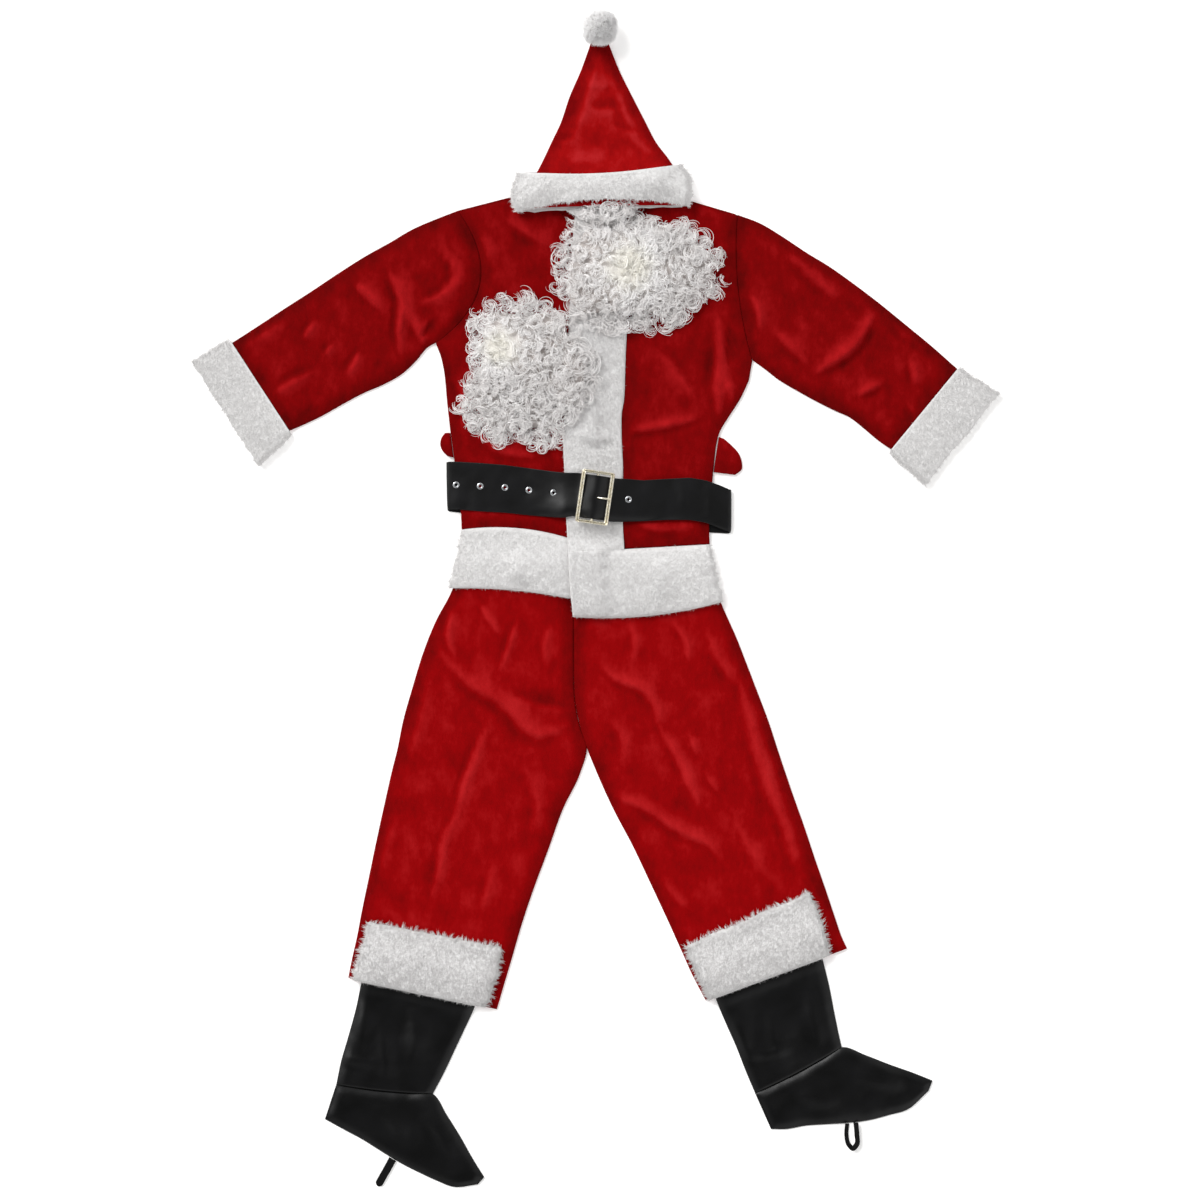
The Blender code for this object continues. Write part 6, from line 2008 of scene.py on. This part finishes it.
@dataclass(frozen=True)
class WigCap(Surface):
    """The cap under the locks: a grey net, painted shade between the locks, with a matted pale patch in its
    middle.
    """

    name: str = "wig_cap"
    dark: str = "#988E8B"
    light: str = "#CCC5C1"
    matted: str = "#F2EFE9"
    lump: float = 7.0
    meshes: float = 480.0

    def paint(self, nodes: Nodes) -> Look:
        """An open knit of about two millimetres, 480 meshes to the metre."""
        knit = nodes.add("TexVoronoi", {"Vector": nodes.place, "Scale": self.meshes,
                                        ".feature": "DISTANCE_TO_EDGE"})
        lumps = nodes.add("TexNoise", {"Vector": nodes.place, "Scale": 1000 / self.lump, "Detail": 4,
                                       "Roughness": 0.65})
        matted = nodes.mixed(nodes.add("Attribute", {".attribute_name": "cream"}, "Fac"), (lumps, 0.5))
        # painted shade: the grey stops stand for shade between the locks; the matted patch is the cap's own
        # pale colour
        stops = ((0.0, self.dark), (0.35, self.light), (0.85, self.matted))
        tone = nodes.mixed(matted, (knit, -0.3))
        return {"Base Color": nodes.add("ValToRGB", {"Fac": tone, ".stops": stops}),
                "Roughness": 0.9}, ((knit, 0.4), (matted, 0.8))


@dataclass(frozen=True)
class BlackVinyl(Surface):
    """Vinyl-coated knit: near black, a soft wide sheen and a faint grain."""

    name: str = "black_vinyl"
    dark: str = "#010101"
    light: str = "#070708"
    roughness: float = 0.36
    grain: float = 1.1
    bulge: float = 34.0

    def paint(self, nodes: Nodes) -> Look:
        """Leather grain of about a millimetre, and slow bulges of the coating."""
        grain = nodes.add("TexVoronoi", {"Vector": nodes.place, "Scale": 1000 / self.grain,
                                         ".feature": "DISTANCE_TO_EDGE"})
        bulges = nodes.add("TexNoise", {"Vector": nodes.place, "Scale": 1000 / self.bulge, "Detail": 1.5,
                                        "Roughness": 0.4})
        rough = nodes.add("MapRange", {"Value": bulges, "To Min": self.roughness - 0.03,
                                       "To Max": self.roughness + 0.04})
        stops = ((0.3, self.dark), (0.75, self.light))
        return {"Base Color": nodes.add("ValToRGB", {"Fac": bulges, ".stops": stops}), "Roughness": rough,
                "Specular IOR Level": 0.3}, ((bulges, 1.8), (grain, 0.06))


@dataclass(frozen=True)
class Plating(Surface):
    """Plated metal: polished, with the slight cloudiness of a thin coat."""

    name: str = "pale_gold_plating"
    dark: str = "#EEE4C6"
    light: str = "#FFFAEC"
    roughness: float = 0.24
    cloud: float = 6.0
    scratch: float = 0.5

    def paint(self, nodes: Nodes) -> Look:
        """Cloudy polish: colour and gloss vary by a few millimetres."""
        clouds = nodes.add("TexNoise", {"Vector": nodes.place, "Scale": 1000 / self.cloud, "Detail": 3,
                                        "Roughness": 0.6})
        polished = nodes.add("Mapping", {"Vector": nodes.place, "Scale": (1.0, 0.08, 1.0)})
        scratches = nodes.add("TexNoise", {"Vector": polished, "Scale": 1000 / self.scratch, "Detail": 2,
                                           "Roughness": 0.5})
        rough = nodes.add("MapRange", {"Value": scratches, "To Min": self.roughness - 0.06,
                                       "To Max": self.roughness + 0.12})
        stops = ((0.3, self.dark), (0.65, self.light))
        return {"Base Color": nodes.add("ValToRGB", {"Fac": clouds, ".stops": stops}), "Roughness": rough,
                "Metallic": 0.9}, ((clouds, 0.02),)


@dataclass(frozen=True)
class RibbedElastic(Surface):
    """Woven elastic: black, with ribs about two millimetres apart."""

    name: str = "black_elastic"
    dark: str = "#020202"
    light: str = "#0A0A0B"
    thread: float = 0.6
    waves: float = 160.0

    def paint(self, nodes: Nodes) -> Look:
        """Ribs as bands of the cloth, with a thready noise."""
        ribs = nodes.add("TexWave", {"Vector": nodes.place, "Scale": self.waves, "Distortion": 1.2,
                                     ".bands_direction": "Z"}, "Fac")
        threads = nodes.add("TexNoise", {"Vector": nodes.place, "Scale": 1000 / self.thread, "Detail": 2,
                                         "Roughness": 0.5})
        stops = ((0.3, self.dark), (0.8, self.light))
        return {"Base Color": nodes.add("ValToRGB", {"Fac": threads, ".stops": stops}), "Roughness": 0.75,
                "Specular IOR Level": 0.15}, ((ribs, 0.25), (threads, 0.15))


@dataclass(frozen=True)
class PaleFloor(Surface):
    """A matt white light table, lit a little from below."""

    name: str = "pale_floor"
    glow: float = 0.3
    cloud: float = 900.0

    def paint(self, nodes: Nodes) -> Look:
        """Nearly even white."""
        clouds = nodes.add("TexNoise", {"Vector": nodes.place, "Scale": 1000 / self.cloud, "Detail": 2,
                                        "Roughness": 0.5})
        stops = ((0.2, "#F4F3F1"), (0.8, "#FAF9F8"))
        return {"Base Color": nodes.add("ValToRGB", {"Fac": clouds, ".stops": stops}), "Roughness": 0.9,
                "Emission Color": linear("#FFFFFF"), "Emission Strength": self.glow}, ()


def make_finishes() -> dict[str, Material]:
    """All finishes by name."""
    finishes = {
        "velour": RedVelour(),
        # one cloth in three tones: the jacket's darkest as painted shade, the legs' lighter and the hat's
        # lightest and pinkest as painted sheen
        "velour_legs": RedVelour("trouser_velour", "#670001", "#8B0003", "#B51E21"),
        "velour_hat": RedVelour("hat_velour", "#6C0002", "#960507", "#BD2D31", "#FF8078"),
        "plush": WhitePlush(),
        "fur": PlushFibre(),
        # the leg bands' fibre is a darker copy of the trim's: painted shade
        "leg_fur": PlushFibre("leg_fibre", "#C0BEBD", "#CECCCB", "#D6D5D4"),
        # the pompom's fibre is a paler copy of the trim's: painted light against the ball's own shading
        "pompom": PlushFibre("pompom_fibre", "#E6E4E3", "#F5F4F3", "#FCFBFB"),
        "curls": CurlFibre(),
        "cap": WigCap(),
        "vinyl": BlackVinyl(),
        "belt": BlackVinyl("belt_vinyl", "#020202", "#08080A", roughness=0.42, grain=0.8),
        "plated": Plating(),
        "eyelet": Plating("nickel_eyelet", "#A5A8AB", "#DCDEE0", roughness=0.2),
        "elastic": RibbedElastic(),
        "floor": PaleFloor(),
    }
    return {name: finish.build() for name, finish in finishes.items()}


# ---------------------------------------------------------------- studio
SKY = ((0.0, "#A8A8A8"), (0.25, "#FFFFFF"), (0.7, "#FAFAFA"), (0.87, "#666668"), (0.96, "#1C1C1D"),
       (1.0, "#141415"))


@dataclass(frozen=True)
class Studio:
    """A white floor, two soft boxes and a camera that looks straight down; in metres."""

    floor_size: float = 9.0
    frame_size: float = 1.8
    height: float = 6.0
    look_x: float = 0.0075
    look_y: float = -0.0015

    def build(self, finishes: dict[str, Material]) -> None:
        """Makes floor, light and camera."""
        half = self.floor_size / 2 / MM
        corners = np.array([[-half, -half, -0.4], [half, -half, -0.4], [half, half, -0.4],
                            [-half, half, -0.4]])
        make_object("studio_floor", corners, np.array([[0, 1, 2, 3]]), finishes["floor"])
        self.sun("key_light", (-0.58, 0.58, 0.72), 2.65, 34.0)
        self.sun("fill_light", (0.7, -0.5, 0.9), 0.45, 60.0)
        bpy.context.scene.world = self.sky()
        camera = bpy.data.cameras.new("camera")
        camera.sensor_width = 36.0
        camera.lens = 36.0 * self.height / self.frame_size
        camera.clip_end = 50.0
        holder = linked("camera", camera)
        holder.location = (self.look_x, self.look_y, self.height)
        bpy.context.scene.camera = holder
        bpy.context.scene.view_settings.view_transform = "Standard"

    def sun(self, name: str, toward: tuple[float, float, float], strength: float, spread: float) -> None:
        """A very large, far soft light; spread is its width in degrees."""
        light = bpy.data.lights.new(name, "SUN")
        light.energy = strength
        light.angle = float(np.radians(spread))
        linked(name, light).rotation_euler = Vector(toward).to_track_quat("Z", "Y").to_euler()

    def sky(self) -> bpy.types.World:
        """White walls round a darker ceiling: gloss stays deep where it faces up."""
        world = bpy.data.worlds.new("studio")
        world.use_nodes = True
        nodes = Nodes(world.node_tree)
        direction = nodes.place.node.outputs["Generated"]
        up = nodes.add("SeparateXYZ", {"Vector": direction}, "Z")
        back = world.node_tree.nodes["Background"]
        world.node_tree.links.new(nodes.add("ValToRGB", {"Fac": up, ".stops": SKY}), back.inputs["Color"])
        back.inputs["Strength"].default_value = 0.86
        return world


# ---------------------------------------------------------------- the suit
RIGHT_FRONT, LEFT_FRONT, BACK = "jacket_front_right_cloth", "jacket_front_left_cloth", "jacket_back_cloth"


@dataclass
class Suit:
    """The costume's pieces, laid in the order in which they lie on one another."""

    shop: Workshop
    rows: Array = field(default_factory=jacket_rows)
    waiting: dict[Side, list[Tube]] = field(default_factory=dict)
    trims: list[Sheet | Tube] = field(default_factory=list)

    def close(self) -> None:
        """Ends a layer: what comes next rests on it."""
        self.shop.pile.close_layer()

    def lay_back(self) -> None:
        """The belt's back, the belt loops, the jacket's back, and sleeves and cuffs below."""
        shop = self.shop
        strap = cut_from(BELT_BACK, 8.0, smooth=False)
        shop.pile.cover(strap, np.full(strap.shape[:2], Belt.thick))
        self.close()
        for side in Side:
            floor = Workshop(shop.finishes)
            loop = Tube("belt_loop_" + side.value, loop_sections(side), VELOUR, ring=False,
                        loft=0.8, turn=3.0, spacing=2.5, rests=[BACK])
            loop.lay_lower(floor)
            floor.pile.close_layer()
            loop.lay_upper(floor).build(floor)
        back = as_sections(self.rows, slice(0, 2), slice(2, 4))
        Sheet("jacket_back", back, VELOUR, spacing=9.0, rests=["studio_floor"]).lay(shop).build(shop)
        Sheet("hem_band_back", HEM_BACK, PLUSH_FLAT, spacing=7.0, smooth=True, rests=["studio_floor"]
              ).lay(shop).build(shop)
        for side, sleeve, cuff in ((Side.RIGHT, other_way(SLEEVE_RIGHT), CUFF_RIGHT),
                                   (Side.LEFT, SLEEVE_LEFT, CUFF_LEFT)):
            self.waiting[side] = [
                Tube("sleeve_" + side.value, sleeve, VELOUR, creases=SLEEVE_FOLDS[side], loft=2.6, spacing=4.0,
                     turn=10.0, seed=3.0).lay_lower(shop),
                Tube("cuff_" + side.value, cuff, PLUSH, loft=0.8).lay_lower(shop)]
        self.close()

    def lay_legs(self) -> None:
        """Legs with the boot shafts between their walls, and the plush bands on their fronts."""
        shop = self.shop
        legs = [Tube("trouser_leg_" + side.value, table, LEG_VELOUR, ring=False, creases=LEG_FOLDS[side],
                     loft=3.0, spacing=4.5, turn=11.0, seed=seed).lay_lower(shop)
                for side, table, seed in ((Side.RIGHT, LEG_RIGHT, 5.0), (Side.LEFT, LEG_LEFT, 7.0))]
        self.close()
        boots = []
        for side, shaft, foot in ((Side.RIGHT, SHAFT_RIGHT, FOOT_RIGHT), (Side.LEFT, SHAFT_LEFT, FOOT_LEFT)):
            shared = {"creases": BOOT_FOLDS[side], "loft": 3.0, "ease": 12.0, "turn": 4.0}
            boots += [Tube("boot_shaft_" + side.value, shaft, VINYL, sink=2.4, **shared).lay_lower(shop),
                      Tube("boot_foot_" + side.value, at_ankle(shaft[-1], foot), VINYL, ring=False, **shared
                           ).lay_lower(shop)]
        self.close()
        for tubes in (boots, legs):
            for tube in tubes:
                tube.lay_upper(shop).build(shop)
            self.close()
        self.trims = [Sheet("leg_band_" + side.value, table, PLUSH, loft=0.6, smooth=True, spans=3,
                            rests=[f"trouser_leg_{side.value}_cloth"]).lay(shop)
                      for side, table in ((Side.RIGHT, LEG_BAND_RIGHT), (Side.LEFT, LEG_BAND_LEFT))]
        self.close()

    def lay_front(self) -> None:
        """The right front first, then the left front with its placket over it."""
        shop = self.shop
        right = as_sections(self.rows, slice(0, 2), slice(4, 6), HEM_RIGHT[0].bow)
        left = as_sections(self.rows, slice(6, 8), slice(2, 4))
        for side, front, hem, seed, below, joined in (
                (Side.RIGHT, right, HEM_RIGHT, 9.0, [], -1000.0),
                (Side.LEFT, left, HEM_LEFT, 11.0, ["hem_band_right_cloth"], 42.0)):
            leg = f"trouser_leg_{side.value}_cloth"
            Sheet("jacket_front_" + side.value, front, FRONT_VELOUR, FRONT_FOLDS[side], 1.8, 4.0,
                  rests=[BACK, leg], seed=seed).lay(shop).build(shop)
            self.trims.append(Sheet("hem_band_" + side.value, hem, PLUSH, HEM_FOLDS, 0.5, smooth=True, spans=3,
                                    joined=(False, joined), rests=[*below, leg]).lay(shop))
            if side is Side.LEFT:
                self.trims.append(Sheet("placket", placket_sections(self.rows), PLUSH, PLACKET_FOLDS, 0.8,
                                        joined=(True, -1000.0), rests=[RIGHT_FRONT, LEFT_FRONT]).lay(shop))
                self.trims[-1].meet(self.trims[-2], shop)
            sleeve, cuff = self.waiting[side]
            sleeve.lay_upper(shop).build(shop)
            self.trims.append(cuff.lay_upper(shop))
            self.close()
        collar = Tube("collar", COLLAR, PLUSH_FLAT, loft=0.5, turn=6.0, rests=[BACK]).lay_lower(shop)
        self.close()
        self.trims.append(collar.lay_upper(shop))
        self.close()

    def lay_hat(self) -> None:
        """The plush band runs round both cloth pieces; the pompom lies at the tip."""
        shop = self.shop
        band = Tube("hat_band", HAT_BAND_UNDER, PLUSH, over=HAT_BAND_OVER, loft=1.0, turn=10.0,
                    rests=["collar_cloth"]).lay_lower(shop)
        self.close()
        Sheet("hat_back", HAT, HAT_VELOUR, spacing=8.0, smooth=True, rests=["studio_floor"]
              ).lay(shop).build(shop)
        self.close()
        front = HAT[:-1] + [HAT[-1]._replace(bow=HAT_FRONT_BOW)]
        Sheet("hat_front", front, HAT_VELOUR, HAT_FOLDS, 3.0, 4.0, smooth=True,
              rests=["hat_back_cloth"], seed=13.0).lay(shop).build(shop)
        self.close()
        self.trims.append(band.lay_upper(shop))
        self.close()

    def lay_belt(self) -> None:
        """The belt over the fronts, then its eyelets and its buckle."""
        shop = self.shop
        belt = Belt()
        belt.build(shop)
        shop.pile.layer = np.maximum(shop.pile.layer, cad_top(shop.pile, "belt_strap"))
        self.close()
        for number in range(1, len(EYELETS) + 1):
            Eyelet(number).build(shop, belt)
        Buckle().build(shop)

    def build(self) -> None:
        """Lays the whole suit, then grows the pile, when all that presses on it is known."""
        shop = self.shop
        for lay in (self.lay_back, self.lay_legs, self.lay_front, self.lay_hat, self.lay_belt):
            lay()
        for loop in ELASTICS:
            loop.build(shop)
        for hair in (Hairpiece("beard", BEARD, 16.0, BEARD_OUTLINE, (-142.0, 374.0, 27.0), 41),
                     Hairpiece("wig", WIG, 19.0, WIG_OUTLINE, (52.0, 495.0, 36.0), 43)):
            hair.build(shop)
            self.close()
        Pompom().build(shop)
        for number, trim in enumerate(self.trims):
            fur = Fur(TUFTS.get(trim.name[:3], SHORT_TUFTS), seed=20 + number).grow(shop, trim)
            trim.build(shop, [fur])


def main() -> None:
    """Builds the suit, then the studio."""
    logging.basicConfig(level=logging.INFO, format="%(message)s")
    suit = Suit(Workshop(make_finishes()))
    suit.build()
    Studio().build(suit.shop.finishes)


if __name__ == "__main__":
    main()
